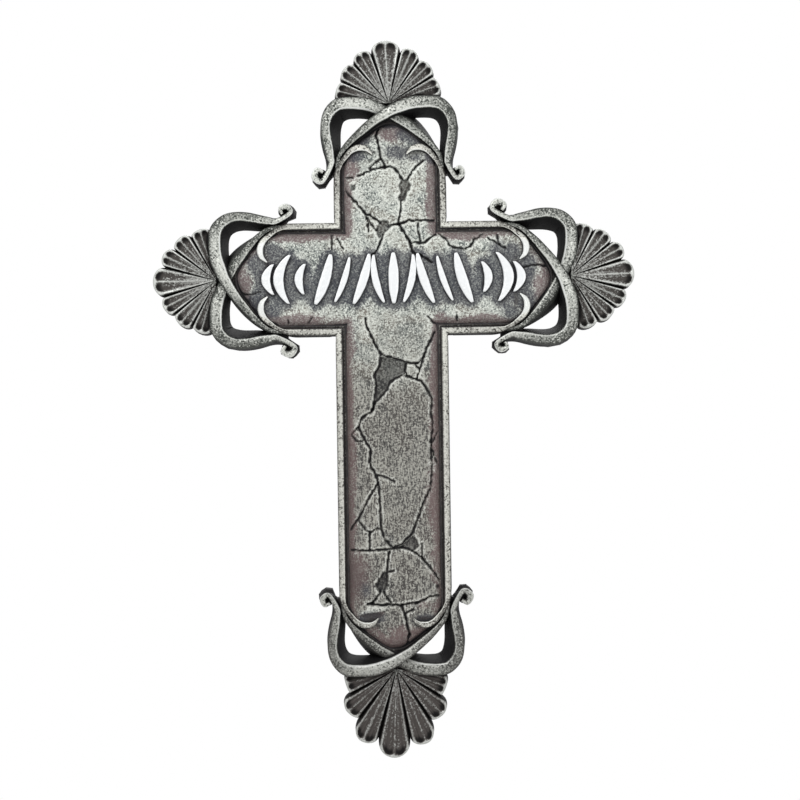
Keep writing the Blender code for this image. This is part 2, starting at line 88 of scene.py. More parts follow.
SHELL_GROOVE_DEPTH = 2.4
SHELL_FLUTE_DEPTH = 1.1
SHELL_RIM_WIDTH = 1.5
SHELL_DRAFT = 0.55
SHELL_ROOT_RADIUS = 0.35
STROKE_ROW_INSET = 22.3
STROKE_ROW_MARGIN = 8.6
STROKE_WIDTH = 4.4
BEAD_OFFSET = 0.95
BEAD_WIDTH = 0.55
BEAD_HEIGHT = 0.5
KEYHOLE_DROP = 34.2
KEYHOLE_HEAD_RADIUS = 5.2
KEYHOLE_CHAMBER_RADIUS = 5.5
KEYHOLE_SLOT_WIDTH = 4.8
KEYHOLE_SLOT_LENGTH = 10.0
KEYHOLE_LIP = 2.2
KEYHOLE_SKIN = 2.2

HALF = BEAM_WIDTH / 2
RAIL_CENTRE = HALF - RAIL_WIDTH / 2
PANEL_HALF = HALF - RAIL_WIDTH - GROOVE_WIDTH
RAIL_TOP = BODY_DEPTH + RAIL_RISE
PANEL_EDGE_TOP = BODY_DEPTH + PANEL_EDGE_RISE
PANEL_TOP = PANEL_EDGE_TOP + PANEL_CROWN
STROKE_TOP = PANEL_TOP + STROKE_RISE

# The back slab is this thick and drawn in by the inset all round. The front's pieces start inside it, at FOOT
SLAB = 2.0
SLAB_INSET = 0.9
FOOT = 0.05

# One strap from its curl over the shoulder, across the hub and down into the rail: across and along from
# the hub as shares of half the beam, width as a share of the strap's, then lift above the rail and the
# spreads of its foot to the left and the right, where it runs over and where it runs under the other
STRAP_ROUTE = (
    (1.040, -1.085, 0.38, (0.30, 0.30, 0.20), (0.30, 0.30, 0.20)),
    (1.050, -0.960, 0.53, (0.34, 0.50, 0.22), (0.34, 0.60, 0.22)),
    (1.080, -0.780, 0.64, (0.38, 0.60, 0.25), (0.38, 0.80, 0.25)),
    (1.120, -0.590, 0.69, (0.40, 0.65, 0.25), (0.40, 0.95, 0.25)),
    (1.134, -0.390, 0.70, (0.42, 0.68, 0.25), (0.42, 1.02, 0.25)),
    (1.095, -0.215, 0.78, (0.44, 0.65, 0.25), (0.44, 1.00, 0.25)),
    (1.005, -0.085, 0.87, (0.46, 0.62, 0.25), (0.44, 0.85, 0.25)),
    (0.870, 0.000, 0.95, (0.50, 0.55, 0.25), (0.40, 0.65, 0.25)),
    (0.630, 0.015, 0.95, (0.60, 0.48, 0.25), (0.30, 0.48, 0.25)),
    (0.390, -0.010, 0.98, (0.78, 0.40, 0.22), (0.18, 0.40, 0.22)),
    (0.205, -0.075, 0.93, (0.92, 0.30, 0.20), (0.08, 0.30, 0.30)),
    (0.020, -0.155, 0.82, (1.00, 0.15, 0.22), (0.02, 0.15, 0.65)),
    (-0.280, -0.335, 0.69, (0.80, 0.12, 0.30), (0.06, 0.12, 1.00)),
    (-0.515, -0.520, 0.59, (0.52, 0.12, 0.35), (0.10, 0.12, 0.80)),
    (-0.640, -0.625, 0.52, (0.36, 0.12, 0.30), (0.10, 0.12, 0.55)),
    (-0.815, -0.805, 0.38, (0.14, 0.10, 0.18), (0.06, 0.10, 0.22)),
    (-0.910, -0.965, 0.32, (0.00, 0.08, 0.10), (0.00, 0.08, 0.10)),
    (-0.945, -1.155, 0.26, (-0.08, 0.08, 0.08), (-0.08, 0.08, 0.08)),
)
OVER_CURL = (1.205, -1.235, 1.0)
UNDER_CURL = (1.228, -1.262, 1.16)
CURL_TURN = math.radians(315)
CURL_RADII = (0.152, 0.104, 0.100, 0.088, 0.052)
CURL_WIDTHS = (0.80, 0.74, 1.00, 0.74, 0.42)
CURL_LIFT = 0.26
CURL_SPREADS = (0.25, 0.04)
STRIP_SECTION = ((0.50, 0.18), (0.22, 0.00), (-0.34, 0.15), (-0.50, 0.42))
RAIL_SECTION = ((0.50, 0.16), (0.36, 0.02), (0.02, 0.10), (-0.30, 0.06), (-0.50, 0.30))
HOOK_ROUTE = (
    (0.925, -1.180, 0.74, 0.00),
    (0.862, -1.055, 0.66, 0.25),
    (0.786, -0.958, 0.74, 0.50),
    (0.700, -0.862, 0.86, 0.75),
    (0.600, -0.804, 0.97, 0.95),
    (0.500, -0.790, 1.00, 1.00),
    (0.395, -0.822, 0.72, 1.00),
    (0.306, -0.915, 0.16, 0.90),
)
BODY_END = (
    (1.000, -1.155), (0.963, -0.965), (0.862, -0.805), (0.677, -0.625),
    (0.545, -0.520), (0.296, -0.335), (0.000, -0.165),
)
PANEL_END = (
    (1.000, -1.060), (0.950, -0.880), (0.810, -0.745), (0.590, -0.615),
    (0.345, -0.465), (0.150, -0.385), (0.000, -0.362),
)
WEB_PLAN = ((0.900, -1.250), (1.050, -1.250), (1.090, -0.860), (0.905, -0.860))
ARM_LOBES = ((15.5, 1.00, 0.825), (37.0, 0.935, 0.805), (60.0, 0.893, 0.785), (84.0, 0.850, 0.745))
FOOT_LOBES = ((12.5, 1.00, 0.785), (34.5, 0.905, 0.672), (58.5, 0.735, 0.590), (84.0, 0.592, 0.520))
MIDDLE_STROKE = (0.0, 0.00, 0.0, 1.00, 0.00, 1.00)
LEFT_STROKES = (
    (-0.482, 0.20, -0.482, 0.80, -0.24, 0.86),
    (-0.421, 0.02, -0.414, 0.98, -0.22, 1.00),
    (-0.361, 0.20, -0.354, 0.80, -0.18, 0.80),
    (-0.314, 0.00, -0.250, 0.98, 0.04, 1.00),
    (-0.236, 0.04, -0.175, 0.92, 0.04, 0.60),
    (-0.161, 0.00, -0.096, 0.98, 0.04, 0.86),
    (-0.039, 0.02, -0.079, 0.96, -0.07, 0.70),
)
LEAF_TIP = 0.24
LEAF_FILL = 0.7

# The four ends: turn from upright, distance to the hub, shell's reach, lobes and lean
ENDS = (
    ("top", 0, TOP_TO_HUB, ARM_SHELL_REACH, ARM_LOBES, 2.5),
    ("right", -90, RIGHT_TO_HUB, ARM_SHELL_REACH, ARM_LOBES, 2.0),
    ("foot", 180, FOOT_TO_HUB, FOOT_SHELL_REACH, FOOT_LOBES, -2.3),
    ("left", 90, LEFT_TO_HUB, ARM_SHELL_REACH, ARM_LOBES, 0.0),
)
NEIGHBOURS = list(zip(ENDS, ENDS[1:] + ENDS[:1]))

# The steps that a strip and the panel's sheet are made in
STRIP_PITCH = 0.6
PANEL_PITCH = 0.46

# The part round the keyhole's middle where the slab isn't drawn in, as half widths, then the rounds and
# the share by which the inset is taken back where a triangle of a flat side would turn over
KEYHOLE_KEPT = (9.0, 14.0)
TAKE_BACK_ROUNDS = 40
TAKE_BACK_SHARE = 0.7

# How dull the silver is, and below 0 how bright, as a painted highlight: along a strap, over all straps of an
# end, over the ones that run under, at the tips of the hooks and where the rails start
STRAP_TONES = (
    0.20, 0.25, 0.30, 0.36, 0.40, 0.38, 0.34, 0.28, 0.16, 0.10, 0.08, 0.12,
    0.34, 0.50, 0.58, 0.66, 0.74, 0.80,
)
END_TONES = {"top": 0.09, "right": 0.03, "foot": 0.0, "left": 0.05}
UNDER_TONES = {"top": -0.20, "right": 0.0, "foot": 0.05, "left": 0.0}
HOOK_TONES = {"top": -0.04, "right": -0.70, "foot": 0.30, "left": -0.70}
RAIL_TONES = {"top": 0.60, "right": 0.35, "foot": 0.20, "left": 0.45}

# The photograph's frame: pixel at which the beams cross, millimetres to a pixel, and the cross's lean
CROSSING_PIXEL = (391.0, 278.0)
MM_PER_PIXEL = 0.4242
LEAN = math.radians(0.8)

# The camera, and the lights by name, place, size and power
CAMERA_PLACE = (0.0031, -0.8134, -0.0518)
CAMERA_LENS = 84.86
LIGHT_AIM = (0, 0, -0.05)
LIGHTS = (
    ("key", (-0.5, -0.9, 0.75), 0.9, 9.0),
    ("fill", (0.8, -0.8, 0.0), 1.0, 3.5),
    ("behind", (0.2, 0.9, 0.6), 1.0, 6.0),
)

# Cracks of the stone as pixels of the photograph's frame, each with its half width and depth
CRACKS = (
    (0.50, 1.6, ((377.7, 129), (375.7, 135), (378.6, 145), (379.8, 154), (381, 158), (384, 164),
                 (385.2, 167))),
    (0.55, 1.7, ((385.2, 167), (391.4, 166.4), (395.6, 169), (399, 174), (402.2, 179))),
    (0.42, 1.2, ((381, 158), (376.5, 162), (370.7, 166.4), (369.9, 169.3))),
    (0.48, 1.4, ((385.2, 167), (379.8, 168), (373.2, 169.3), (367.4, 171.4), (363.2, 174), (357.8, 176))),
    (0.55, 1.6, ((407.6, 179), (410.5, 174), (414.6, 168), (418.8, 164), (422.9, 160))),
    (0.50, 1.5, ((401, 200.8), (401, 209.5), (399.3, 218), (398, 223.6))),
    (0.50, 1.6, ((345, 189.6), (350, 196), (355.8, 202), (360.7, 208), (365, 213), (371.5, 216),
                 (380, 222))),
    (0.45, 1.3, ((364.9, 212.8), (367.4, 220.3), (368.6, 231))),
    (0.42, 1.2, ((367.4, 217.8), (371.5, 224.4), (375.7, 230.2))),
    (0.60, 1.7, ((393, 224.4), (398, 224.4), (403, 222.8), (409, 220), (414.6, 220.7), (422, 220),
                 (435, 220))),
    (0.62, 1.8, ((399, 224.5), (404, 232), (409.4, 241), (413.5, 253), (424, 257), (432, 262))),
    (0.45, 1.3, ((417.6, 222.4), (418.8, 234.4), (420.6, 240.8))),
    (0.55, 1.5, ((409.4, 241.8), (423.7, 242.9), (431, 237), (436, 234))),
    (0.50, 1.5, ((383, 234.7), (377.8, 249), (370.6, 257), (368.6, 263), (370.6, 273.5))),
    (0.42, 1.2, ((345, 177.2), (352.4, 177.6))),
    (0.40, 1.0, ((331.8, 233.7), (331.8, 249))),
    (0.45, 1.2, ((337, 237.8), (343, 249))),
    (0.40, 1.0, ((240, 293), (248, 295), (260.4, 291.8))),
    (0.40, 1.0, ((288, 320.4), (288, 327.6))),
    (0.40, 1.0, ((312.4, 317.3), (305.3, 326.5))),
    (0.48, 1.4, ((439, 233.7), (446, 239), (450, 246), (463.5, 249), (470.6, 246), (474.7, 239),
                 (483, 233.7))),
    (0.42, 1.2, ((488, 237.8), (497, 243), (505.3, 248))),
    (0.38, 1.0, ((497, 233.7), (499.2, 244))),
    (0.42, 1.2, ((519.6, 268.4), (529.8, 265.3), (538, 264.3), (548, 266.3))),
    (0.38, 1.0, ((456.3, 312), (457.3, 320.4))),
    (0.45, 1.2, ((427.8, 316.3), (436, 324.5), (439, 330.6))),
    (0.50, 1.5, ((365.5, 318.4), (366.5, 326.5), (375.5, 345), (381, 354.4), (396.5, 359), (410, 363),
                 (417.6, 363))),
    (0.50, 1.5, ((417.6, 363), (423.3, 357), (427, 346.8), (434.8, 331.5))),
    (0.50, 1.4, ((380.3, 356.3), (379.5, 366), (374.3, 374.5), (376.3, 386), (375.2, 396),
                 (373.6, 404), (372.6, 411.8))),
    (0.50, 1.4, ((406, 375.5), (421.4, 381), (427, 389), (432, 398.4), (431, 412), (433, 427),
                 (431, 442.4))),
    (0.45, 1.2, ((431, 442.4), (432, 471), (431, 486.4), (423.3, 503.7), (417.6, 519), (411.8, 534.3),
                 (402.3, 543.8))),
    (0.45, 1.2, ((402.3, 543.8), (392.7, 547.7), (385, 540), (381, 528.5), (380.3, 511), (379.3, 492),
                 (378.4, 482.6))),
    (0.50, 1.4, ((378.4, 482.6), (375.5, 475), (369.7, 463.5), (370.7, 450), (364, 438.6), (358.3, 427))),
    (0.50, 1.4, ((358.3, 427), (362, 417.6), (371.7, 411.8), (375, 402), (380.5, 397.5),
                 (386.5, 390.5), (389.7, 382.7),
                 (396.5, 377.8), (404, 375))),
    (0.40, 1.0, ((377.4, 475), (387, 477.8), (394.6, 481.7))),
    (0.40, 1.1, ((351.6, 433.8), (358.3, 427))),
    (0.40, 1.1, ((351.6, 434.8), (356.3, 441.5), (363, 440.5))),
    (0.45, 1.3, ((377.4, 484.5), (367.8, 499.8), (358.3, 519), (350.6, 530.4))),
    (0.42, 1.1, ((359.2, 521), (366, 530.4), (369.7, 532.4), (379.3, 528.5))),
    (0.42, 1.1, ((369.7, 532.4), (369.7, 549.6))),
    (0.48, 1.4, ((350.6, 550.5), (369.7, 550.5), (385, 549.6), (402.3, 547.7), (411.8, 550.5))),
    (0.48, 1.4, ((411.8, 550.5), (421.4, 557), (431, 568.7), (442.4, 584))),
    (0.45, 1.3, ((423.5, 357.5), (420.5, 367), (416.8, 378.5))),
    (0.42, 1.2, ((406, 363.6), (405.4, 371.2), (406.5, 374.5))),
    (0.42, 1.2, ((414.1, 363.6), (417, 366.5), (419.5, 369))),
    (0.40, 1.0, ((421.4, 543.8), (422.4, 559))),
    (0.42, 1.1, ((440.5, 429), (434.8, 436.7), (431, 446.3), (434.8, 457.7), (440.5, 471))),
    (0.48, 1.3, ((388.9, 552.4), (387, 568.7), (387.2, 572.4), (393.8, 570.8))),
    (0.50, 1.4, ((380.6, 592.3), (374.8, 599.8), (372.3, 603))),
    (0.50, 1.4, ((383.9, 592.3), (387.2, 598), (391.4, 603))),
    (0.55, 1.5, ((367.3, 604), (379.8, 605.2), (391.4, 604.8), (402, 605.2), (409.6, 603), (417, 603))),
    (0.50, 1.4, ((417, 603), (423.7, 599.8), (430.3, 596.5), (437.8, 595.7), (444.4, 596.5))),
    (0.60, 1.7, ((402, 605.2), (403, 609.8), (405.5, 615.6), (406.7, 623), (408, 628.8), (409.6, 634.6))),
    (0.50, 1.5, ((409.6, 634.6), (408, 640.4), (407.5, 646.2))),
    (0.42, 1.1, ((405.5, 614), (409.6, 611.4), (413.7, 609))),
)
# Pits where the stone has broken out, each with its depth
PITS = (
    (1.1, ((401.4, 180.5), (406.3, 179.7), (410.5, 184.6), (408.8, 189.6), (405.5, 193.7), (404.7, 199.6),
           (400.5, 200.8), (398.9, 197.1), (401.4, 192.1), (399.3, 186.3))),
    (1.0, ((380.6, 221), (386.4, 220.7), (389, 224.8), (393, 224.4), (386.4, 230.2), (379, 237),
           (375.7, 230.2))),
    (0.9, ((381, 357.5), (396.5, 360.2), (406, 363), (405, 371.7), (402.3, 375.5), (395, 378),
           (389.5, 382.5),
           (386, 390.5), (380, 397), (375.3, 400.5), (376.5, 387), (374.5, 375), (379.5, 366.5))),
    (1.2, ((387.2, 572.4), (383, 573.3), (380.6, 577.4), (376.4, 584), (377.3, 589), (379.8, 592.3),
           (383.9, 590.7), (387.2, 585.7), (388, 577.4))),
    (1.3, ((436.6, 585.6), (438.8, 585.2), (439.4, 587.2), (437.4, 588))),
    (0.8, ((351, 186), (354.5, 185), (355, 188.4), (352, 190))),
    (0.8, ((413.5, 536), (400, 547.5), (408, 549), (414.5, 550), (419, 545))),
)
# Patches of the stone in the photograph's frame: middle, half width and height, strength. The mauve ones are
# tints
MAUVE_PATCHES = (
    (389, 136, 12, 7, 1.0), (352, 168, 8, 14, 0.8), (347, 205, 6, 22, 0.9), (433, 195, 7, 30, 0.9),
    (245, 283, 9, 12, 0.8), (541, 283, 9, 12, 0.8), (300, 236, 24, 5, 0.7), (300, 319, 26, 5, 0.9),
    (480, 319, 26, 5, 0.6), (347, 400, 6, 60, 0.8), (440, 400, 7, 80, 0.9), (348, 545, 8, 40, 0.7),
    (436, 500, 9, 40, 0.8), (403, 636, 16, 12, 0.9), (358, 575, 13, 26, 0.75), (425, 605, 9, 6, 0.5),
    (468, 236, 22, 4, 0.6),
)
# Blue-grey painted shade, most of it beside the hooks, with a few blue-grey patches of the stone
SLATE_SHADE_PATCHES = (
    (360, 138, 12, 9, 0.9), (408, 134, 12, 9, 1.0), (426, 138, 14, 10, 1.0), (432, 156, 9, 8, 0.9),
    (356, 156, 10, 7, 0.9), (391, 123, 18, 5, 1.0), (258, 264, 11, 11, 1.0), (258, 300, 11, 11, 1.0),
    (526, 264, 11, 11, 1.0), (526, 300, 11, 11, 1.0), (272, 250, 9, 8, 0.9), (272, 312, 10, 8, 0.8),
    (512, 250, 9, 8, 0.9), (512, 312, 10, 8, 0.8), (371, 618, 13, 6, 1.0), (425, 620, 13, 6, 1.0),
    (391, 540, 5, 6, 0.3), (416, 157, 10, 6, 0.6), (398, 152, 17, 8, 0.8), (366, 590, 7, 9, 0.5),
    (498, 244, 12, 8, 0.4),
)
LIGHT_PATCHES = (
    (366, 201, 16, 14, 0.35), (374, 190, 16, 10, 0.45),
)
# Painted shade in the recesses inside the curves of the hooks, and darker stone low on the foot
DARK_PATCHES = (
    (371, 619.8, 8, 2.6, 1.0), (424.5, 618.6, 9, 2.6, 1.0), (371, 152.5, 7, 1.8, 0.8),
    (356, 578, 12, 26, 0.42), (437, 590, 7, 18, 0.3), (360, 510, 8, 22, 0.3),
    (417, 152.5, 7, 1.8, 0.8), (267, 264, 2.2, 9, 0.8), (267, 300, 2.2, 9, 0.8), (516, 264, 2.2, 9, 0.8),
    (516, 300, 2.2, 9, 0.8),
)
# The ledge of broken stone above the lower left hook: its top painted light, and its underside painted in
# shade and tinted mauve
LEDGE_TOP = ((366.8, 605.3), (392.9, 606.8), (386.7, 609.9), (381.6, 611.6), (366.8, 613.6), (359.3, 615.3),
             (359.2, 613.8), (366.3, 610.5))
LEDGE_SHADE = ((359.3, 615.3), (366.8, 613.6), (381.6, 611.6), (385, 612.5), (381, 618), (376, 620),
               (367, 619.5),
               (361, 617))
LEDGES = {"light": [(LEDGE_TOP, 0.9)], "shade": [(LEDGE_SHADE, 0.7)], "mauve": [(LEDGE_SHADE, 0.7)]}
# Stones that stand a little proud, each with its rise
STONES = (
    (0.35, ((367, 319), (369, 327), (376, 343), (383, 353.5), (397, 358), (410, 361.5), (417, 361.5),
            (422, 356),
            (426, 345), (433, 330))),
    (0.40, ((407, 364.5), (413, 364.9), (418.5, 370.7), (416.2, 376), (409.8, 374), (406.6, 371.2))),
    (0.45, ((406, 377), (421, 382.5), (426, 390), (430, 399), (429.5, 412), (431, 427), (429.5, 442),
            (430, 471),
            (429, 486), (421.5, 503), (416, 518), (410, 533), (401, 542), (393, 545.5), (386.5, 539),
            (383, 528),
            (382, 511), (381, 492), (380, 482), (377, 474), (371.5, 463), (372.5, 450), (366, 438),
            (360.5, 427),
            (364, 419), (373, 413.5), (377, 405), (388.5, 392), (397, 381))),
    (0.70, ((366.5, 605), (380, 606), (401, 607), (388, 609), (380, 613.9), (359, 614.7),
            (365.7, 610.6))),
    (0.30, ((360, 179), (368, 174), (378, 171), (388, 169.5), (396, 173), (399, 181), (397.5, 189),
            (398.5, 198),
            (398.5, 208), (397, 219), (391, 222), (384, 218.5), (375, 214), (366, 208.5), (358, 200),
            (352, 193))),
)


def srgb(red, green, blue):
    """A colour given in the usual 0 to 255 steps, as Blender's linear values."""
    linear = [(c / 255 / 12.92) if c / 255 <= 0.04045 else ((c / 255 + 0.055) / 1.055) ** 2.4
              for c in (red, green, blue)]
    return (*linear, 1.0)


def from_pixel(points):
    """Pixels of the photograph's frame as plan points on the cross."""
    p = np.asarray(points, float)
    dx = p[..., 0] - CROSSING_PIXEL[0]
    dy = CROSSING_PIXEL[1] - p[..., 1]
    across = dx * math.cos(LEAN) + dy * math.sin(LEAN)
    up = -dx * math.sin(LEAN) + dy * math.cos(LEAN)
    return np.stack([across, up], -1) * MM_PER_PIXEL


def on_end(end, across, along):
    """Plan points measured from the hub of an end, turned into the plan of the whole cross."""
    a = math.radians(end[1])
    across = np.asarray(across, float)
    up = end[2] + np.asarray(along, float)
    return np.stack([across * math.cos(a) - up * math.sin(a), across * math.sin(a) + up * math.cos(a)], -1)


def smooth(rows, steps):
    """Rows on a smooth curve through the given ones, with this many steps in each span."""
    rows = np.asarray(rows, float)
    padded = np.concatenate([rows[:1], rows, rows[-1:]])
    t = (np.arange(steps) / steps)[:, None]
    spans = []
    for a, b, c, d in zip(padded, padded[1:], padded[2:], padded[3:]):
        spans.append(0.5 * (2 * b + (c - a) * t + (2 * a - 5 * b + 4 * c - d) * t**2
                            + (3 * b - a - 3 * c + d) * t**3))
    return np.concatenate(spans + [rows[-1:]])


def resampled(rows, pitch):
    """Rows at an even pitch along their way across the plan."""
    rows = np.asarray(rows, float)
    steps = np.linalg.norm(np.diff(rows[:, :2], axis=0), axis=1)
    way = np.concatenate([[0.0], np.cumsum(steps)])
    count = max(2, int(round(way[-1] / pitch)) + 1)
    at = np.linspace(0.0, way[-1], count)
    return np.stack([np.interp(at, way, rows[:, k]) for k in range(rows.shape[1])], -1)


def ripple(x, y, size, seed):
    """Soft unevenness between about -1 and 1, with lumps of about this size."""
    draw = np.random.default_rng(seed)
    total = np.zeros(np.broadcast(x, y).shape)
    for _ in range(9):
        turn = draw.uniform(0, 2 * math.pi)
        wave = 2 * math.pi / (size * draw.uniform(0.7, 1.6))
        total += np.sin((x * math.cos(turn) + y * math.sin(turn)) * wave + draw.uniform(0, 2 * math.pi))
    return total / 4.0


def deselect():
    """Leaves no object selected."""
    bpy.ops.object.select_all(action="DESELECT")


def make_active(piece):
    """Selects one piece alone for the tools that work on the active object."""
    deselect()
    piece.select_set(True)
    bpy.context.view_layer.objects.active = piece


def set_places(piece, places):
    """Moves a piece's points to places given as (across, up, out) in millimetres."""
    flat = np.asarray(places, float).reshape(-1, 3)
    moved = np.stack([flat[:, 0], -flat[:, 2], flat[:, 1]], -1) * MM
    piece.data.vertices.foreach_set("co", moved.astype(np.float32).ravel())
    piece.data.update()


def set_attribute(piece, name, values):
    """Stores one value for each point, for the finishes to read."""
    made = piece.data.attributes.get(name) or piece.data.attributes.new(name, "FLOAT", "POINT")
    made.data.foreach_set("value", np.asarray(values, np.float32).ravel())


def places_of(piece):
    """A piece's points as (across, up, out) in millimetres."""
    co = np.empty(len(piece.data.vertices) * 3, np.float32)
    piece.data.vertices.foreach_get("co", co)
    co = co.reshape(-1, 3) / MM
    return co[:, 0], co[:, 2], -co[:, 1]


def add_sheet(name, places):
    """A primitive grid with its points moved to rows and columns of places."""
    rows, columns = places.shape[:2]
    deselect()
    bpy.ops.mesh.primitive_grid_add(x_subdivisions=columns - 1, y_subdivisions=rows - 1, size=1)
    piece = bpy.context.object
    piece.name = name
    set_places(piece, places)
    return piece


def weld(piece, close_ends):
    """Merges points that meet, closes the open ends and turns the faces outwards."""
    make_active(piece)
    bpy.ops.object.mode_set(mode="EDIT")
    bpy.ops.mesh.select_all(action="SELECT")
    bpy.ops.mesh.remove_doubles(threshold=2e-6)
    if close_ends:
        bpy.ops.mesh.fill_holes(sides=0)
    bpy.ops.mesh.select_all(action="SELECT")
    bpy.ops.mesh.normals_make_consistent(inside=False)
    bpy.ops.object.mode_set(mode="OBJECT")


def add_rolled(name, rings, wash, tone=0.0):
    """A sheet rolled round into a closed bar: one row for each ring, welded along its seam and capped."""
    rings = np.concatenate([rings, rings[:, :1]], axis=1)
    piece = add_sheet(name, rings)
    for label, values in (("wash", wash), ("tone", tone)):
        values = np.broadcast_to(values, (rings.shape[0], rings.shape[1] - 1))
        set_attribute(piece, label, np.concatenate([values, values[:, :1]], axis=1))
    weld(piece, close_ends=True)
    return piece


def joined(pieces, name):
    """The pieces as one object, which takes the name."""
    deselect()
    for piece in pieces:
        piece.select_set(True)
    bpy.context.view_layer.objects.active = pieces[0]
    bpy.ops.object.join()
    pieces[0].name = name
    return pieces[0]


def side_normals(plan):
    """The unit normal to the left of a plan line at each point, lengthened at a bend so that widths hold."""
    spans = np.diff(plan, axis=0)
    spans /= np.linalg.norm(spans, axis=1)[:, None]
    before = np.concatenate([spans[:1], spans])
    after = np.concatenate([spans, spans[-1:]])
    along = before + after
    along /= np.linalg.norm(along, axis=1)[:, None]
    square = np.stack([-along[:, 1], along[:, 0]], -1)
    left = np.stack([-after[:, 1], after[:, 0]], -1)
    return square / np.maximum((square * left).sum(1), 0.5)[:, None]


def side_room(plan, side):
    """How far each point of a plan line can move to one side before the moved line folds over itself."""
    spans = np.diff(plan, axis=0)
    length = np.linalg.norm(spans, axis=1)
    heading = np.unwrap(np.arctan2(spans[:, 1], spans[:, 0]))
    bends = np.concatenate([[0.0], np.maximum(0.0, side * np.diff(heading)), [0.0]])
    closing = np.tan(bends[:-1] / 2) + np.tan(bends[1:] / 2)
    rooms = np.where(closing > 1e-6, 0.85 * length / np.maximum(closing, 1e-6), 1e6)
    return np.minimum(np.concatenate([rooms[:1], rooms]), np.concatenate([rooms, rooms[-1:]]))


def rounded(points, radius, steps):
    """A run of section points with its inner corners rounded, for every station at once."""
    parts = [points[:, :1]]
    for k in range(1, points.shape[1] - 1):
        corner = points[:, k]
        back = points[:, k - 1] - corner
        on = points[:, k + 1] - corner
        back_length = np.linalg.norm(back, axis=-1, keepdims=True)
        on_length = np.linalg.norm(on, axis=-1, keepdims=True)
        start = corner + back * np.minimum(0.42, radius / np.maximum(back_length, 1e-6))
        end = corner + on * np.minimum(0.42, radius / np.maximum(on_length, 1e-6))
        for i in range(steps + 1):
            t = i / steps
            parts.append(((1 - t) ** 2 * start + 2 * t * (1 - t) * corner + t**2 * end)[:, None])
    parts.append(points[:, -1:])
    return np.concatenate(parts, axis=1)


def subdivided(points, longest):
    """Section points with more between them where they lie far apart."""
    parts = []
    for k in range(points.shape[1] - 1):
        a, b = points[:, k], points[:, k + 1]
        count = max(1, int(np.ceil(np.median(np.linalg.norm(b - a, axis=-1)) / longest)))
        for i in range(count):
            parts.append((a + (b - a) * (i / count))[:, None])
    parts.append(points[:, -1:])
    return np.concatenate(parts, axis=1)


def evened(line, reach):
    """A line of points with each moved to the mean of those within reach of it, its ends kept."""
    total = np.zeros_like(line)
    for step in range(-reach, reach + 1):
        place = np.arange(len(line)) + step
        total += line[np.clip(place, 0, len(line) - 1)]
    mean = total / (2 * reach + 1)
    near_end = np.minimum(np.arange(len(line)), np.arange(len(line))[::-1]) / (reach + 1)
    share = np.clip(near_end, 0, 1)[:, None]
    return line + (mean - line) * share


def strip_rings(stations, inner, radius, longest, section=STRIP_SECTION, outer_wash=0.5, shine=0.8, reach=9):
    """Rings of a strip along stations of (across, up, width, top, inner spread, outer spread, tone), how
    deep the dark wash lies over each point, and how dull its silver is, with painted shade down its outer
    slope and a painted highlight along its inner edge, as strong as shine."""
    plan = stations[:, :2]
    width, top, inner_spread, outer_spread = (stations[:, k] for k in range(2, 6))
    aside = [width / 2 + inner_spread] + [a * width for a, _ in section] + [-width / 2 - outer_spread]
    out = [np.full_like(width, FOOT)] + [top - d * width for _, d in section] + [np.full_like(width, FOOT)]
    points = subdivided(rounded(np.stack([np.stack(aside, -1), np.stack(out, -1)], -1), radius, 3), longest)
    room_in = side_room(plan, inner)[:, None]
    room_out = side_room(plan, -inner)[:, None]
    across = np.clip(points[..., 0], -room_out, room_in)
    normals = side_normals(plan) * inner
    spots = plan[:, None] + normals[:, None] * across[..., None]
    lowest = section[0][1], section[-1][1]
    for foot, share in ((0, lowest[0]), (-1, lowest[1])):
        start = (top - share * width)[:, None]
        wall = (points[..., 1] < start - 0.02) & ((points[..., 0] > 0) == (foot == 0))
        down = np.clip((points[..., 1] - start) / (points[:, foot, 1:2] - start), 0.0, 1.0)
        moved = (evened(spots[:, foot], reach) - spots[:, foot])[:, None] * down[..., None]
        spots = spots + np.where(wall[..., None], moved, 0.0)
    depth = np.clip((top[:, None] - points[..., 1]) / 6.0, 0.0, 1.0)
    side = np.clip(points[..., 0] / (width[:, None] / 2), -1.0, 1.0)
    wash = np.where(side > 0, 1.0, outer_wash) * np.clip(depth * 3.2 * np.abs(side) ** 3, 0.0, 1.0)
    # A painted highlight along the inner edge lowers the tone, and painted shade down the outer slope raises
    # it
    edge_highlight = np.exp(-(((side - 0.80) / 0.12) ** 2))
    tone = stations[:, 6:7] + 0.6 * np.clip(-side - 0.15, 0, 1) - shine * edge_highlight
    return np.concatenate([spots, points[..., 1:]], -1), wash, np.clip(tone, -1.0, 1.0)


def curl_rows(curl):
    """Rows of a curl in the hub's shares, from its inner tip out to the foot of the strap."""
    angle = math.pi + CURL_TURN * np.arange(len(CURL_RADII)) / (len(CURL_RADII) - 1)
    radius = curl[2] * np.array(CURL_RADII)
    rows = np.zeros((len(CURL_RADII), 7))
    rows[:, 0] = curl[0] + radius * np.cos(angle)
    rows[:, 1] = curl[1] + radius * np.sin(angle)
    rows[:, 2] = np.array(CURL_WIDTHS) * curl[2] * CURL_BAND_WIDTH / STRAP_WIDTH
    rows[:, 3] = CURL_LIFT
    rows[:, 4], rows[:, 5] = CURL_SPREADS
    rows[:, 6] = 0.12
    return rows[:0:-1]


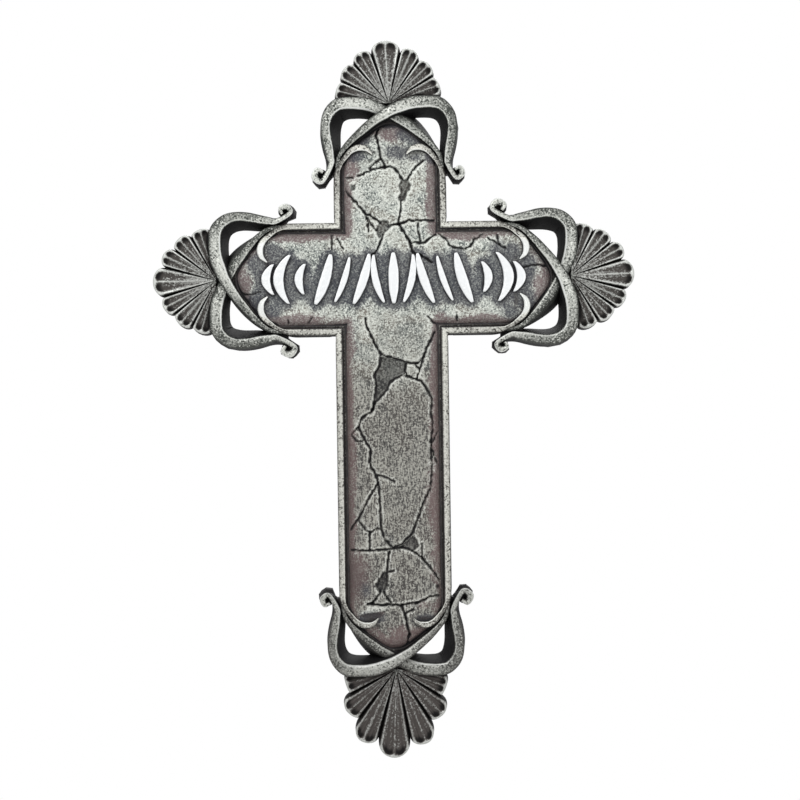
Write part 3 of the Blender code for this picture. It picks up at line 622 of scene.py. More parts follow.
def add_strap(end, over, mirror):
    """One strap of an end with its curl. The one that runs over has its curl on the right."""
    lift = 3 if over else 4
    route = np.array([(*row[:3], *row[lift], tone) for row, tone in zip(STRAP_ROUTE, STRAP_TONES)])
    rows = smooth(np.concatenate([curl_rows(OVER_CURL if over else UNDER_CURL), route]), 10)
    spot = on_end(end, mirror * rows[:, 0] * HALF, rows[:, 1] * HALF)
    stations = np.column_stack([
        spot, rows[:, 2] * STRAP_WIDTH, RAIL_TOP + rows[:, 3] * CROSSING_RISE,
        rows[:, 4] * STRAP_SPREAD, rows[:, 5] * STRAP_SPREAD, rows[:, 6] + END_TONES[end[0]],
    ])
    stations = resampled(stations, STRIP_PITCH)
    seed = 20 + end[1] % 89 + mirror
    stations[:, 2] *= 1 + 0.025 * ripple(stations[:, 0], stations[:, 1], 9.0, seed)
    stations[:, 3] += 0.10 * ripple(stations[:, 0], stations[:, 1], 7.0, seed + 7)
    # Painted shadow: the under strap is darkened near the crossing, where the over strap passes above it
    away = np.linalg.norm(stations[:, :2] - on_end(end, 0.0, -0.5 * STRAP_WIDTH), axis=1)
    if not over:
        stations[:, 6] += 0.45 * np.exp(-((away / 6.5) ** 2)) + UNDER_TONES[end[0]]
    tail = np.arange(len(stations)) > 0.62 * len(stations)
    outer_wash = np.where(tail, 0.5 if over else 0.12, 0.5)[:, None]
    rings = strip_rings(stations, mirror, 0.7, 0.9, outer_wash=outer_wash)
    return add_rolled(f"{end[0]}_strap_{'over' if over else 'under'}", *rings)


def hook_stations(end, mirror):
    """Stations of a hook from its tip to the start of the straight rail. The last value is how straight."""
    rows = smooth(HOOK_ROUTE, 8)[::-1]
    spot = on_end(end, mirror * rows[:, 0] * HALF, rows[:, 1] * HALF)
    draft = np.full(len(rows), RAIL_DRAFT / 2)
    tone = 0.72 - (0.72 - HOOK_TONES[end[0]]) * rows[:, 3] ** 2
    width = rows[:, 2] * HOOK_WIDTH
    top = RAIL_TOP + rows[:, 3] * HOOK_LIFT
    return np.column_stack([spot, width, top, draft, draft, tone, np.zeros(len(rows))])


def straight_end(end, mirror):
    """The station where a hook has run out into its straight rail."""
    run_out = HOOK_ROUTE[0][1] * HALF - RAIL_WIDTH
    spot = on_end(end, [mirror * RAIL_CENTRE], [run_out])
    return np.column_stack([spot, [[RAIL_WIDTH, RAIL_TOP, RAIL_DRAFT, RAIL_DRAFT, RAIL_TONES[end[0]], 0.3]]])


def add_rail(first, second):
    """A rail from one end's hook round the inner corner to the next end's hook."""
    corner = np.array([[*inner_corner(first, second, RAIL_CENTRE), RAIL_WIDTH, RAIL_TOP,
                        RAIL_DRAFT, RAIL_DRAFT, 0.0, 1.0]])
    out = np.concatenate([hook_stations(first, 1), straight_end(first, 1), corner])
    back = np.concatenate([corner, straight_end(second, -1), hook_stations(second, -1)[::-1]])
    out, back = resampled(out, STRIP_PITCH), resampled(back, STRIP_PITCH)
    stations = np.concatenate([out, back[1:]])
    stations[:, 3] += 0.07 * ripple(stations[:, 0], stations[:, 1], 8.0, 50 + first[1] % 89)
    straight = stations[:, 7:8]
    # Along the hooks a painted highlight runs down the inner edge; towards the corner it turns into a darker
    # line
    rings = strip_rings(stations, -1, 0.35, 0.7, RAIL_SECTION, outer_wash=0.95 - 0.6 * straight,
                        shine=0.9 - 1.6 * straight, reach=5)
    return add_rolled(f"rail_{first[0]}_{second[0]}", *rings)


def inner_corner(first, second, half_width):
    """The corner between two neighbouring ends of a cross this wide."""
    a, b = math.radians(first[1]), math.radians(second[1])
    return [-half_width * (math.sin(a) + math.sin(b)), half_width * (math.cos(a) + math.cos(b))]


def cross_outline(half_width, end_shape):
    """Plan of a cross with shaped ends, as points round it."""
    shape = np.array(end_shape)
    both = np.concatenate([shape[:-1] * (-1, 1), shape[::-1]])
    points = []
    for end, following in NEIGHBOURS:
        points += list(on_end(end, both[:, 0] * half_width, both[:, 1] * HALF))
        points.append(np.array(inner_corner(end, following, half_width)))
    return np.array(points)


def round_plan(centre, radius, count):
    """Plan points evenly round a circle."""
    angle = np.linspace(0, 2 * math.pi, count + 1)[:-1]
    return centre + radius * np.stack([np.cos(angle), np.sin(angle)], -1)


def add_prism(name, plan, low, high):
    """A flat-sided block: a filled circle primitive with its rim moved to the plan, then extruded."""
    deselect()
    bpy.ops.mesh.primitive_circle_add(vertices=len(plan), radius=1, fill_type="NGON")
    piece = bpy.context.object
    piece.name = name
    set_places(piece, np.column_stack([plan, np.full(len(plan), low)]))
    bpy.ops.object.mode_set(mode="EDIT")
    bpy.ops.mesh.select_all(action="SELECT")
    bpy.ops.mesh.extrude_region_move(TRANSFORM_OT_translate={"value": (0, (low - high) * MM, 0)})
    bpy.ops.mesh.select_all(action="SELECT")
    bpy.ops.mesh.normals_make_consistent(inside=False)
    bpy.ops.object.mode_set(mode="OBJECT")
    return piece


def subtract(piece, cutter):
    """Takes a cutter out of a piece and removes the cutter."""
    make_active(piece)
    cut = piece.modifiers.new("cut", "BOOLEAN")
    cut.operation = "DIFFERENCE"
    cut.solver = "EXACT"
    cut.object = cutter
    bpy.ops.object.modifier_apply(modifier=cut.name)
    bpy.data.objects.remove(cutter)


def slot_plan(half_width, low, high):
    """Plan of an upright slot with half-round ends."""
    angle = np.linspace(0, math.pi, 17)
    top = np.column_stack([half_width * np.cos(angle), high + half_width * np.sin(angle)])
    return np.concatenate([top, top * (-1, -1) + (0, low + high)])


def add_body():
    """The block behind the grooves, with the keyhole's chamber, and what closes the curls and shoulders."""
    body = add_prism("body", cross_outline(RAIL_CENTRE, BODY_END), FOOT, BODY_DEPTH)
    low = TOP_TO_HUB - KEYHOLE_DROP
    high = low + KEYHOLE_SLOT_LENGTH
    deep = BODY_DEPTH - KEYHOLE_SKIN
    half_way = (KEYHOLE_LIP + deep) / 2
    for radius, top, start, end in (
        (KEYHOLE_HEAD_RADIUS, low, 0.0, half_way),
        (KEYHOLE_SLOT_WIDTH / 2, high, -0.3, half_way),
        (KEYHOLE_CHAMBER_RADIUS, high, KEYHOLE_LIP, deep),
    ):
        subtract(body, add_prism("cutter", slot_plan(radius, low, top), start, end))
    parts = [body]
    for end in ENDS:
        for mirror, curl in ((1, OVER_CURL), (-1, UNDER_CURL)):
            across, along = np.transpose(WEB_PLAN) * HALF
            web = on_end(end, mirror * across, along)
            parts.append(add_prism("web", web, FOOT, WEB_TOP))
            centre = on_end(end, mirror * curl[0] * HALF, curl[1] * HALF)
            floor = round_plan(centre, CURL_RADII[1] * HALF * curl[2], 32)
            parts.append(add_prism("curl_floor", floor, FOOT, CURL_FLOOR_TOP))
        hub = round_plan(on_end(end, 0.0, -STRAP_WIDTH / 4), STRAP_WIDTH / 2, 24)
        parts.append(add_prism("hub", hub, FOOT, SHELL_RIM_TOP))
    return joined(parts, "body")


def shell_columns(lobes, steps):
    """Columns across a whole shell: angle, outline's share of the reach, place in its lobe from -1 to 1,
    and number of the lobe."""
    rows = []
    edges = [-lobe[0] for lobe in lobes[::-1]] + [lobe[0] for lobe in lobes]
    valleys = [lobe[2] for lobe in lobes[::-1]] + [lobe[2] for lobe in lobes]
    tips = [lobe[1] for lobe in lobes[:0:-1]] + [lobe[1] for lobe in lobes]
    for number, tip in enumerate(tips):
        first, finish = edges[number], edges[number + 1]
        t = np.sin(np.linspace(-1, 1, steps + 1) * math.pi / 2)
        foot = np.where(t < 0, valleys[number], valleys[number + 1])
        share = foot + (tip - foot) * np.sqrt(np.maximum(0.0, 1 - t**2))
        angle = (first + finish) / 2 + t * (finish - first) / 2
        block = np.column_stack([angle, share, t, np.full_like(t, number)])
        rows.append(block if number == 0 else block[1:])
    return np.concatenate(rows)


def add_shell(end):
    """A fan of fluted lobes: two flutes to a lobe with a fine ridge between them, and a raised rim."""
    reach, lobes, lean = end[3:]
    columns = shell_columns(lobes, 26)
    foot_end = end[0] == "foot"
    rows = np.concatenate([np.linspace(0, 0.8, 40)[:-1], np.linspace(0.8, 1.0, 22)])
    angle = np.radians(columns[:, 0] - lean)[:, None]
    share, t = columns[:, 1][:, None], columns[:, 2][:, None]
    radius = SHELL_ROOT_RADIUS + (share * reach - SHELL_ROOT_RADIUS) * rows
    to_rim = share * reach - radius
    crest = SHELL_HUB_TOP + (SHELL_RIM_TOP - SHELL_HUB_TOP) * rows
    # grooves between lobes
    groove_width = (0.20 if foot_end else 0.17) + 0.20 * np.exp(-rows / 0.22)
    beside = np.clip((np.abs(t) - (1 - groove_width)) / groove_width, 0, 1)
    groove = SHELL_GROOVE_DEPTH * beside**1.4 * np.minimum(1.0, 0.45 + rows)
    # flutes, which deepen towards the tip and stop below the rim
    inside = np.clip(np.abs(t) / (1 - groove_width), 0, 1)
    middle = 0.46
    hollow = np.exp(-((np.abs(inside - middle) / 0.37) ** 5))
    hollow_end = SHELL_RIM_WIDTH * 0.58 + 1.5 * np.clip((np.abs(inside - middle) - 0.05) / 0.4, 0, 1) ** 2
    fade = 1 / (1 + np.exp(-(to_rim - hollow_end) / 0.13))
    strength = 0.75 if foot_end else 1.0
    flute = strength * SHELL_FLUTE_DEPTH * hollow * np.clip(0.15 + rows * 1.15, 0, 1) * fade
    # lobe's own roundness and its thin lines
    dome = 0.35 * (1 - t**2) * np.sin(np.clip(rows, 0, 1) * math.pi * 0.6)
    number = columns[:, 3][:, None]
    fine = (0.16 if foot_end else 0.09) * np.sin(inside * 15 + number * 1.7) * rows * fade
    rim = np.exp(-((to_rim - 0.55) / 0.42) ** 2) * 0.22
    edge = -0.9 * np.exp(-to_rim / 0.30)
    face = crest - groove - flute + dome + fine + rim + edge
    x = radius * np.sin(angle)
    y = radius * np.cos(angle)
    face = face + 0.04 * ripple(x, y, 2.2, 70 + end[1] % 89) * rows
    spot = on_end(end, x, y)
    faces = np.concatenate([spot, face[..., None]], -1)
    wall = []
    for k in range(1, 7):
        down = k / 6
        wide = share * reach + SHELL_DRAFT * down
        wx, wy = wide * np.sin(angle), wide * np.cos(angle)
        out = face[:, -1:] + (FOOT - face[:, -1:]) * down
        wall.append(np.concatenate([on_end(end, wx, wy), out[..., None]], -1))
    rx, ry = SHELL_ROOT_RADIUS * np.sin(angle), SHELL_ROOT_RADIUS * np.cos(angle)
    root = np.concatenate([on_end(end, rx, ry), np.full((len(columns), 1, 1), FOOT)], -1)
    rings = np.concatenate([faces] + wall + [root], axis=1)
    near_tip = np.exp(-((to_rim - hollow_end - 0.9) / 1.6) ** 2)
    thin = 0.5 + 0.5 * np.sin(inside * 27 + number * 1.3 + 0.8 * ripple(radius, 0 * radius, 5.0, 72))
    lines = 0.45 * foot_end * np.clip(thin - 0.45, 0, 1) * fade * np.clip(rows * 2, 0, 1)
    wash_face = 1.2 * beside**0.7 + hollow * fade * (0.30 * rows + 0.60 * near_tip * rows) + lines
    wash_face = np.clip(wash_face, 0, 1)
    wash_wall = np.broadcast_to(np.array([0.15, 0.3, 0.4, 0.5, 0.5, 0.5, 0.5]), (len(columns), 7))
    streak = 0.5 + 0.5 * np.sin(inside * 13 + number * 2.3 + 0.6 * ripple(radius, 0 * radius, 6.0, 71))
    even = 0.10 if foot_end else 0.35
    tone = 0.92 * hollow * fade * np.clip(rows * 1.6 - 0.15, 0, 1) * (even + (1 - even) * streak)
    rim_tone = 0.05 if foot_end else 0.22
    tone = np.clip(tone + 0.30 * foot_end * (to_rim > 1.0) + rim_tone * np.exp(-((to_rim / 0.9) ** 2)), 0, 1)
    tone_wall = np.full((len(columns), 7), 0.3)
    return add_rolled(f"{end[0]}_shell", rings, np.concatenate([wash_face, wash_wall], axis=1),
                      np.concatenate([tone, tone_wall], axis=1))


def segments_of(points):
    """The stretches of a line given in pixels, each as its two plan points."""
    points = from_pixel(points)
    return list(zip(points[:-1], points[1:]))


def distance_to(x, y, a, b):
    """Distance from points to a segment."""
    along = b - a
    t = np.clip(((x - a[0]) * along[0] + (y - a[1]) * along[1]) / max(along @ along, 1e-9), 0, 1)
    return np.hypot(x - a[0] - t * along[0], y - a[1] - t * along[1])


def inside_of(x, y, polygon):
    """True for the points that lie inside a polygon."""
    inside = np.zeros(x.shape, bool)
    for a, b in zip(polygon, np.roll(polygon, -1, axis=0)):
        crosses = (a[1] > y) != (b[1] > y)
        rise = b[1] - a[1] if b[1] != a[1] else 1e-9
        inside ^= crosses & (x < (b[0] - a[0]) * (y - a[1]) / rise + a[0])
    return inside


def within(x, y, polygon):
    """Distance inside a polygon, negative outside it."""
    nearest = np.full(x.shape, 1e3)
    for a, b in zip(polygon, np.roll(polygon, -1, axis=0)):
        nearest = np.minimum(nearest, distance_to(x, y, a, b))
    return np.where(inside_of(x, y, polygon), nearest, -nearest)


def panel_half_width(end):
    """Distance from the hub and half width of the panel along one end, from its tip to the straight."""
    rows = smooth(PANEL_END, 12)
    return end[2] + rows[::-1, 1] * HALF, rows[::-1, 0] * PANEL_HALF


def panel_sheet(end):
    """Places of the panel from one side of the crossing square out to the tip of an end."""
    reach, width = panel_half_width(end)
    tip = reach[0]
    count = int(round((tip - PANEL_HALF) / PANEL_PITCH))
    at = np.linspace(PANEL_HALF, tip, count + 1)
    near_tip = tip - (tip - at[-6]) * np.linspace(1, 0, 12) ** 1.5
    at = np.concatenate([at[:-6], near_tip])
    half = np.interp(-at, -reach, width)
    half = np.where(at <= reach[-1], PANEL_HALF, half)
    half[-1] = 0.0
    u = np.linspace(-1, 1, int(round(2 * PANEL_HALF / PANEL_PITCH)) + 1)
    return on_end(end, half[:, None] * u, (at - end[2])[:, None] + 0 * u)


def stone_relief(x, y):
    """How far the stone's face rises over its plain pillow shape, how dark its cracks are, and how bright
    the silver on their lips."""
    wx = x + 0.22 * ripple(x, y, 2.4, 3)
    wy = y + 0.22 * ripple(x, y, 2.4, 4)
    rise = 0.10 * ripple(x, y, 14.0, 5) + 0.045 * ripple(x, y, 3.2, 6) + 0.03 * ripple(x, y, 1.5, 7)
    dark = np.zeros(x.shape)
    lip = np.zeros(x.shape)
    for lift, pixels in STONES:
        inside = within(wx, wy, from_pixel(pixels))
        rise += lift * np.clip(inside / 0.9 + 0.3, 0, 1)
    for depth, pixels in PITS:
        inside = within(wx, wy, from_pixel(pixels))
        down = np.clip(inside / 0.5 + 0.5, 0, 1)
        rise -= depth * down * (1 + 0.25 * ripple(x, y, 1.8, 8))
        dark = np.maximum(dark, 0.62 * down)
        dark = np.maximum(dark, 0.9 * np.exp(-((inside / 0.35) ** 2)))
        lip = np.maximum(lip, np.exp(-(((inside + 0.95) / 0.4) ** 2)))
    wobble = 0.8 + 0.55 * ripple(x, y, 2.6, 9)
    for half_width, depth, pixels in CRACKS:
        near = np.full(x.shape, 1e3)
        for a, b in segments_of(pixels):
            near = np.minimum(near, distance_to(wx, wy, a, b))
        shape = np.clip(1 - near / (half_width * np.clip(wobble, 0.35, 1.7) + 0.15), 0, 1)
        rise -= depth * shape**0.8 * 0.8 + 0.16 * np.exp(-near / 1.3)
        dark = np.maximum(dark, np.clip(shape * 1.7, 0, 1))
        lip = np.maximum(lip, np.exp(-(((near - 1.0) / 0.34) ** 2)))
    return rise, dark, lip * (1 - dark)


def panel_outline():
    """Closely spaced plan points round the panel."""
    return cross_outline(PANEL_HALF, smooth(PANEL_END, 6))


def add_bead():
    """The thin raised line along the bottom of the groove round the panel."""
    ring = panel_outline()
    ring = np.concatenate([ring[-1:], ring, ring[:2]])
    plan = (ring + side_normals(ring) * BEAD_OFFSET)[1:-1]
    section = np.array([(-0.5, 0.0), (-0.36, 0.7), (0.0, 1.0), (0.36, 0.7), (0.5, 0.0)])
    across = section[:, 0] * BEAD_WIDTH
    spots = plan[:, None] + side_normals(ring)[1:-1][:, None] * across[:, None]
    out = BODY_DEPTH - 0.4 + section[:, 1] * (BEAD_HEIGHT + 0.4)
    out = np.broadcast_to(out, spots.shape[:2])
    return add_rolled("groove_bead", np.concatenate([spots, out[..., None]], -1), -0.4, 0.5)


def add_panel():
    """The cracked stone slab between the rails: a sheet that follows the outline, closed underneath."""
    sheets = []
    for end in ENDS:
        plan = panel_sheet(end)
        sheets.append(add_sheet(f"panel_{end[0]}", np.dstack([plan, np.zeros(plan.shape[:2])])))
    u = np.linspace(-1, 1, int(round(2 * PANEL_HALF / PANEL_PITCH)) + 1) * PANEL_HALF
    middle = np.stack([*np.meshgrid(u, u), np.zeros((len(u), len(u)))], -1)
    panel = joined([add_sheet("panel_middle", middle)] + sheets, "stone_panel")
    weld(panel, close_ends=False)
    x, y, _ = places_of(panel)
    x, y = x.astype(float), y.astype(float)
    dense = panel_outline()
    edge = np.full(x.shape, 1e3)
    for a, b in zip(dense, np.roll(dense, -1, axis=0)):
        edge = np.minimum(edge, distance_to(x, y, a, b))
    inwards = [0, 0.25, 0.35 * PANEL_EDGE_ROUND, 0.72 * PANEL_EDGE_ROUND, 1.15 * PANEL_EDGE_ROUND]
    upwards = [-0.35, 0.0, 0.62 * PANEL_CROWN, 0.92 * PANEL_CROWN, PANEL_CROWN]
    pillow = np.interp(edge, inwards, upwards)
    rise, dark, lip = stone_relief(x, y)
    inland = np.clip(edge / 1.2, 0, 1)
    out = PANEL_EDGE_TOP + pillow + rise * inland
    out = np.maximum(out, BODY_DEPTH + 0.15)
    set_places(panel, np.column_stack([x, y, out]))
    set_attribute(panel, "crack", dark * np.clip(edge / 0.8, 0, 1))
    set_attribute(panel, "edge", edge)
    set_attribute(panel, "lip", lip * np.clip(edge / 1.5, 0, 1))
    for label, patches in (("mauve", MAUVE_PATCHES), ("slate_shade", SLATE_SHADE_PATCHES), ("light", LIGHT_PATCHES),
                           ("shade", DARK_PATCHES)):
        total = np.zeros(x.shape)
        for px, py, wide, tall, strength in patches:
            cx, cy = from_pixel((px, py))
            away = ((x - cx) / (wide * MM_PER_PIXEL)) ** 2 + ((y - cy) / (tall * MM_PER_PIXEL)) ** 2
            total = np.maximum(total, strength * np.exp(-away))
        for ledge, strength in LEDGES.get(label, []):
            total = np.maximum(total, strength * np.clip(0.5 + within(x, y, from_pixel(ledge)) / 0.6, 0, 1))
        set_attribute(panel, label, total)
    make_active(panel)
    bpy.ops.object.mode_set(mode="EDIT")
    bpy.ops.mesh.select_mode(type="EDGE")
    bpy.ops.mesh.select_all(action="DESELECT")
    bpy.ops.mesh.select_non_manifold(extend=False)
    bpy.ops.mesh.extrude_region_move(TRANSFORM_OT_translate={"value": (0, 0.001 * MM, 0)})
    bpy.ops.object.mode_set(mode="OBJECT")
    x2, y2, out2 = places_of(panel)
    rim = np.array([v.select for v in panel.data.vertices])
    out2 = np.where(rim, BODY_DEPTH - 0.6, out2)
    set_places(panel, np.column_stack([x2, y2, out2]))
    bpy.ops.object.mode_set(mode="EDIT")
    bpy.ops.mesh.edge_face_add()
    bpy.ops.mesh.select_all(action="SELECT")
    bpy.ops.mesh.normals_make_consistent(inside=False)
    bpy.ops.mesh.select_mode(type="VERT")
    bpy.ops.object.mode_set(mode="OBJECT")
    return panel


def add_strokes():
    """The row of raised leaves in the place of an inscription."""
    row_length = LEFT_TO_HUB + RIGHT_TO_HUB - 2 * STROKE_ROW_INSET
    row_middle = (RIGHT_TO_HUB - LEFT_TO_HUB) / 2
    height = 2 * (PANEL_HALF - STROKE_ROW_MARGIN)
    right = [(-foot_x, foot_y, -head_x, head_y, -bow, width)
             for foot_x, foot_y, head_x, head_y, bow, width in LEFT_STROKES[::-1]]
    pieces = []
    strokes = [*LEFT_STROKES, MIDDLE_STROKE, *right]
    for number, (foot_x, foot_y, head_x, head_y, bow, width) in enumerate(strokes):
        foot = np.array([row_middle + foot_x * row_length, (foot_y - 0.5) * height])
        head = np.array([row_middle + head_x * row_length, (head_y - 0.5) * height])
        along = head - foot
        length = np.linalg.norm(along)
        aside = np.array([along[1], -along[0]]) / length
        t = (1 - np.cos(np.linspace(0, math.pi, 44))) / 2
        middle = foot + along * t[:, None] + aside * (bow * length * 4 * t * (1 - t))[:, None]
        half = width * STROKE_WIDTH / 2 * (LEAF_TIP + (1 - LEAF_TIP) * np.sin(math.pi * t) ** LEAF_FILL)
        half *= 1 + 0.03 * ripple(middle[:, 0], middle[:, 1], 3.0, 90 + number)
        across = [-1, -1, -0.97, -0.86, -0.6, -0.25, 0.25, 0.6, 0.86, 0.97, 1, 1]
        drop = [None, 0.75, 0.30, 0.08, 0.0, 0.0, 0.0, 0.0, 0.08, 0.30, 0.75, None]
        end_fall = 0.55 * (1 - np.clip(np.minimum(t, 1 - t) / 0.035, 0, 1)) ** 2
        columns = []
        for place, fall in zip(across, drop):
            spot = middle + aside * (place * half)[:, None]
            if fall is None:
                out = np.full(len(t), PANEL_TOP - 1.2)
            else:
                out = STROKE_TOP - fall - end_fall + 0.04 * ripple(spot[:, 0], spot[:, 1], 2.0, 91)
            columns.append(np.column_stack([spot, out]))
        wash = np.array([1, 0.8, 0.2, 0, 0, 0, 0, 0, 0, 0.2, 0.8, 1.0])
        pieces.append(add_rolled(f"stroke_{number:02d}", np.stack(columns, 1), wash[None]))
    return joined(pieces, "raised_strokes")


def doubled_area(corners):
    """Twice the area of triangles in plan, negative where they run the other way round."""
    first, second = corners[:, 1] - corners[:, 0], corners[:, 2] - corners[:, 0]
    return first[:, 0] * second[:, 1] - first[:, 1] * second[:, 0]


def add_back_slab():
    """The flat back with the keyhole's mouth: the rear of the casting, sliced off, closed and drawn in a
    little. It is drawn in less where a triangle of a flat side would turn over."""
    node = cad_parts["cross"]
    slab = bpy.data.objects.new("back_slab", node.data.copy())
    bpy.context.scene.collection.objects.link(slab)
    make_active(slab)
    bpy.ops.object.mode_set(mode="EDIT")
    bpy.ops.mesh.select_all(action="SELECT")
    bpy.ops.mesh.remove_doubles(threshold=1e-6)
    bpy.ops.mesh.select_all(action="SELECT")
    bpy.ops.mesh.bisect(plane_co=(0, -SLAB * MM, 0), plane_no=(0, -1, 0), clear_outer=True, use_fill=True)
    bpy.ops.mesh.select_all(action="SELECT")
    bpy.ops.mesh.normals_make_consistent(inside=False)
    bpy.ops.mesh.quads_convert_to_tris(quad_method="BEAUTY", ngon_method="BEAUTY")
    bpy.ops.object.mode_set(mode="OBJECT")
    x, y, out = places_of(slab)
    normals = np.empty(3 * len(slab.data.polygons))
    slab.data.polygons.foreach_get("normal", normals)
    areas = np.empty(len(slab.data.polygons))
    slab.data.polygons.foreach_get("area", areas)
    corners = np.empty(3 * len(slab.data.polygons), int)
    slab.data.polygons.foreach_get("vertices", corners)
    normals = normals.reshape(-1, 3)
    walls = np.abs(normals[:, 1]) < 0.7
    outward = np.zeros((len(x), 2))
    for corner in corners.reshape(-1, 3).T:
        np.add.at(outward, corner[walls], (normals[:, ::2] * areas[:, None])[walls])
    length = np.linalg.norm(outward, axis=1)
    keyhole_middle = TOP_TO_HUB - KEYHOLE_DROP + KEYHOLE_SLOT_LENGTH / 2
    kept = (np.abs(x) < KEYHOLE_KEPT[0]) & (np.abs(y - keyhole_middle) < KEYHOLE_KEPT[1])
    free = (length > 0) & ~kept
    step = np.where(free[:, None], outward / np.maximum(length, 1e-12)[:, None], 0.0) * SLAB_INSET
    plan = np.column_stack([x, y])
    flats = corners.reshape(-1, 3)[~walls]
    before = doubled_area(plan[flats])
    for _ in range(TAKE_BACK_ROUNDS):
        turned = doubled_area((plan - step)[flats]) * before <= 0
        step[np.unique(flats[turned])] *= TAKE_BACK_SHARE
    set_places(slab, np.column_stack([plan - step, out]))
    set_attribute(slab, "side", out / SLAB)
    for key in list(slab.keys()):
        del slab[key]
    slab.data.materials.clear()
    return slab


# Relief map of the whole front, from which the wash and the brushed ridges are worked out
MAP_PITCH = 0.4


class ReliefMap:
    """Heights of the front on an even grid, with blurred copies of it."""

    def __init__(self, pieces):
        low, high = (np.array(c) / MM for c in cad_box)
        self.origin = np.array([low[0] - 6, low[2] - 6])
        size = np.array([high[0] - low[0], high[2] - low[2]]) + 12
        self.shape = tuple((size[::-1] / MAP_PITCH).astype(int) + 1)
        heights = np.zeros(self.shape)
        for piece in pieces:
            x, y, out = places_of(piece)
            i, j = self.cells(x, y)
            np.maximum.at(heights, (j, i), out)
        for _ in range(2):
            grown = heights.copy()
            for axis in (0, 1):
                for step in (-1, 1):
                    grown = np.where(grown > 0, grown, np.roll(heights, step, axis))
            heights = np.where(heights > 0, heights, grown)
        self.heights = heights

    def cells(self, x, y):
        i = np.clip(((x - self.origin[0]) / MAP_PITCH).round().astype(int), 0, self.shape[1] - 1)
        j = np.clip(((y - self.origin[1]) / MAP_PITCH).round().astype(int), 0, self.shape[0] - 1)
        return i, j

    def blurred(self, values, sigma):
        """A gaussian blur by this many millimetres."""
        fy = np.fft.fftfreq(self.shape[0], MAP_PITCH)[:, None]
        fx = np.fft.rfftfreq(self.shape[1], MAP_PITCH)[None]
        kernel = np.exp(-2 * (math.pi * sigma) ** 2 * (fx**2 + fy**2))
        return np.fft.irfft2(np.fft.rfft2(values) * kernel, self.shape)

    def sample(self, values, x, y):
        """Values between the grid's points."""
        fx = np.clip((x - self.origin[0]) / MAP_PITCH, 0, self.shape[1] - 1.001)
        fy = np.clip((y - self.origin[1]) / MAP_PITCH, 0, self.shape[0] - 1.001)
        i, j = fx.astype(int), fy.astype(int)
        fx, fy = fx - i, fy - j
        return ((values[j, i] * (1 - fx) + values[j, i + 1] * fx) * (1 - fy)
                + (values[j + 1, i] * (1 - fx) + values[j + 1, i + 1] * fx) * fy)


def shade_by_relief(pieces, panel, strokes):
    """Gives every piece its hollow and ridge values: how far a point lies under or over what is round it.
    A wash above 0 is the least hollow there is, and one below 0 takes as much away from the hollow. The
    panel also gets a halo of painted shade round the strokes."""
    relief = ReliefMap(pieces)
    x, y, _ = places_of(panel)
    alone = (ReliefMap([strokes]).heights > 0).astype(float)
    halo = relief.sample(relief.blurred(alone, 2.1), x, y)
    set_attribute(panel, "halo", np.clip(2.4 * halo, 0, 0.9))
    solid = (relief.heights > 0).astype(float)
    near = relief.blurred(relief.heights, 0.9) / np.maximum(relief.blurred(solid, 0.9), 0.2)
    wide = relief.blurred(relief.heights, 3.2) / np.maximum(relief.blurred(solid, 3.2), 0.2)
    for piece in pieces:
        x, y, out = places_of(piece)
        fine = relief.sample(near, x, y) - out
        broad = relief.sample(wide, x, y) - out
        wash = np.zeros(len(x), np.float32)
        if "wash" in piece.data.attributes:
            piece.data.attributes["wash"].data.foreach_get("value", wash)
        hollow = np.clip(0.55 * np.clip(fine, 0, 1.2) + 0.22 * np.clip(broad, 0, 4), 0, 1)
        set_attribute(piece, "hollow", np.maximum(hollow + np.minimum(wash, 0), wash).clip(0))
        set_attribute(piece, "ridge", np.clip(-1.1 * fine - 0.05, 0, 1) * (1 - wash))


# Node groups that more than one finish uses


def new_group(name, inputs, outputs):
    group = bpy.data.node_groups.new(name, "ShaderNodeTree")
    for label, kind, value in inputs:
        socket = group.interface.new_socket(label, in_out="INPUT", socket_type=kind)
        if value is not None:
            socket.default_value = value
    for label, kind in outputs:
        group.interface.new_socket(label, in_out="OUTPUT", socket_type=kind)
    return group, group.nodes.new("NodeGroupInput"), group.nodes.new("NodeGroupOutput")


def connect(tree, target, value):
    """Sets a socket to a number or colour, or links another socket to it."""
    if isinstance(value, bpy.types.NodeSocket):
        tree.links.new(value, target)
    else:
        target.default_value = value


def math_node(tree, operation, first, second=0.0, clamp=False):
    node = tree.nodes.new("ShaderNodeMath")
    node.operation = operation
    node.use_clamp = clamp
    connect(tree, node.inputs[0], first)
    connect(tree, node.inputs[1], second)
    return node.outputs[0]


def plus(tree, first, second, clamp=False):
    return math_node(tree, "ADD", first, second, clamp)


def minus(tree, first, second):
    return math_node(tree, "SUBTRACT", first, second)


def times(tree, first, second):
    return math_node(tree, "MULTIPLY", first, second)


def plus_share(tree, first, second, share):
    """The first value with a share of the second added."""
    return plus(tree, first, times(tree, second, share))


def swing(tree, value, size):
    """A value between 0 and 1 made to swing round 0 by this size in all."""
    return times(tree, minus(tree, value, 0.5), size)


def map_range(tree, value, low, high, to_low=0.0, to_high=1.0, soft=True):
    node = tree.nodes.new("ShaderNodeMapRange")
    node.interpolation_type = "SMOOTHSTEP" if soft else "LINEAR"
    for socket, given in zip(node.inputs, (value, low, high, to_low, to_high)):
        connect(tree, socket, given)
    return node.outputs[0]


def mix_colour(tree, share, first, second):
    node = tree.nodes.new("ShaderNodeMix")
    node.data_type = "RGBA"
    connect(tree, node.inputs["Factor"], share)
    connect(tree, node.inputs[6], first)
    connect(tree, node.inputs[7], second)
    return node.outputs[2]


def noise(tree, place, scale, detail=2.0, roughness=0.5):
    node = tree.nodes.new("ShaderNodeTexNoise")
    connect(tree, node.inputs["Vector"], place)
    connect(tree, node.inputs["Scale"], scale)
    node.inputs["Detail"].default_value = detail
    node.inputs["Roughness"].default_value = roughness
    return node.outputs["Fac"]


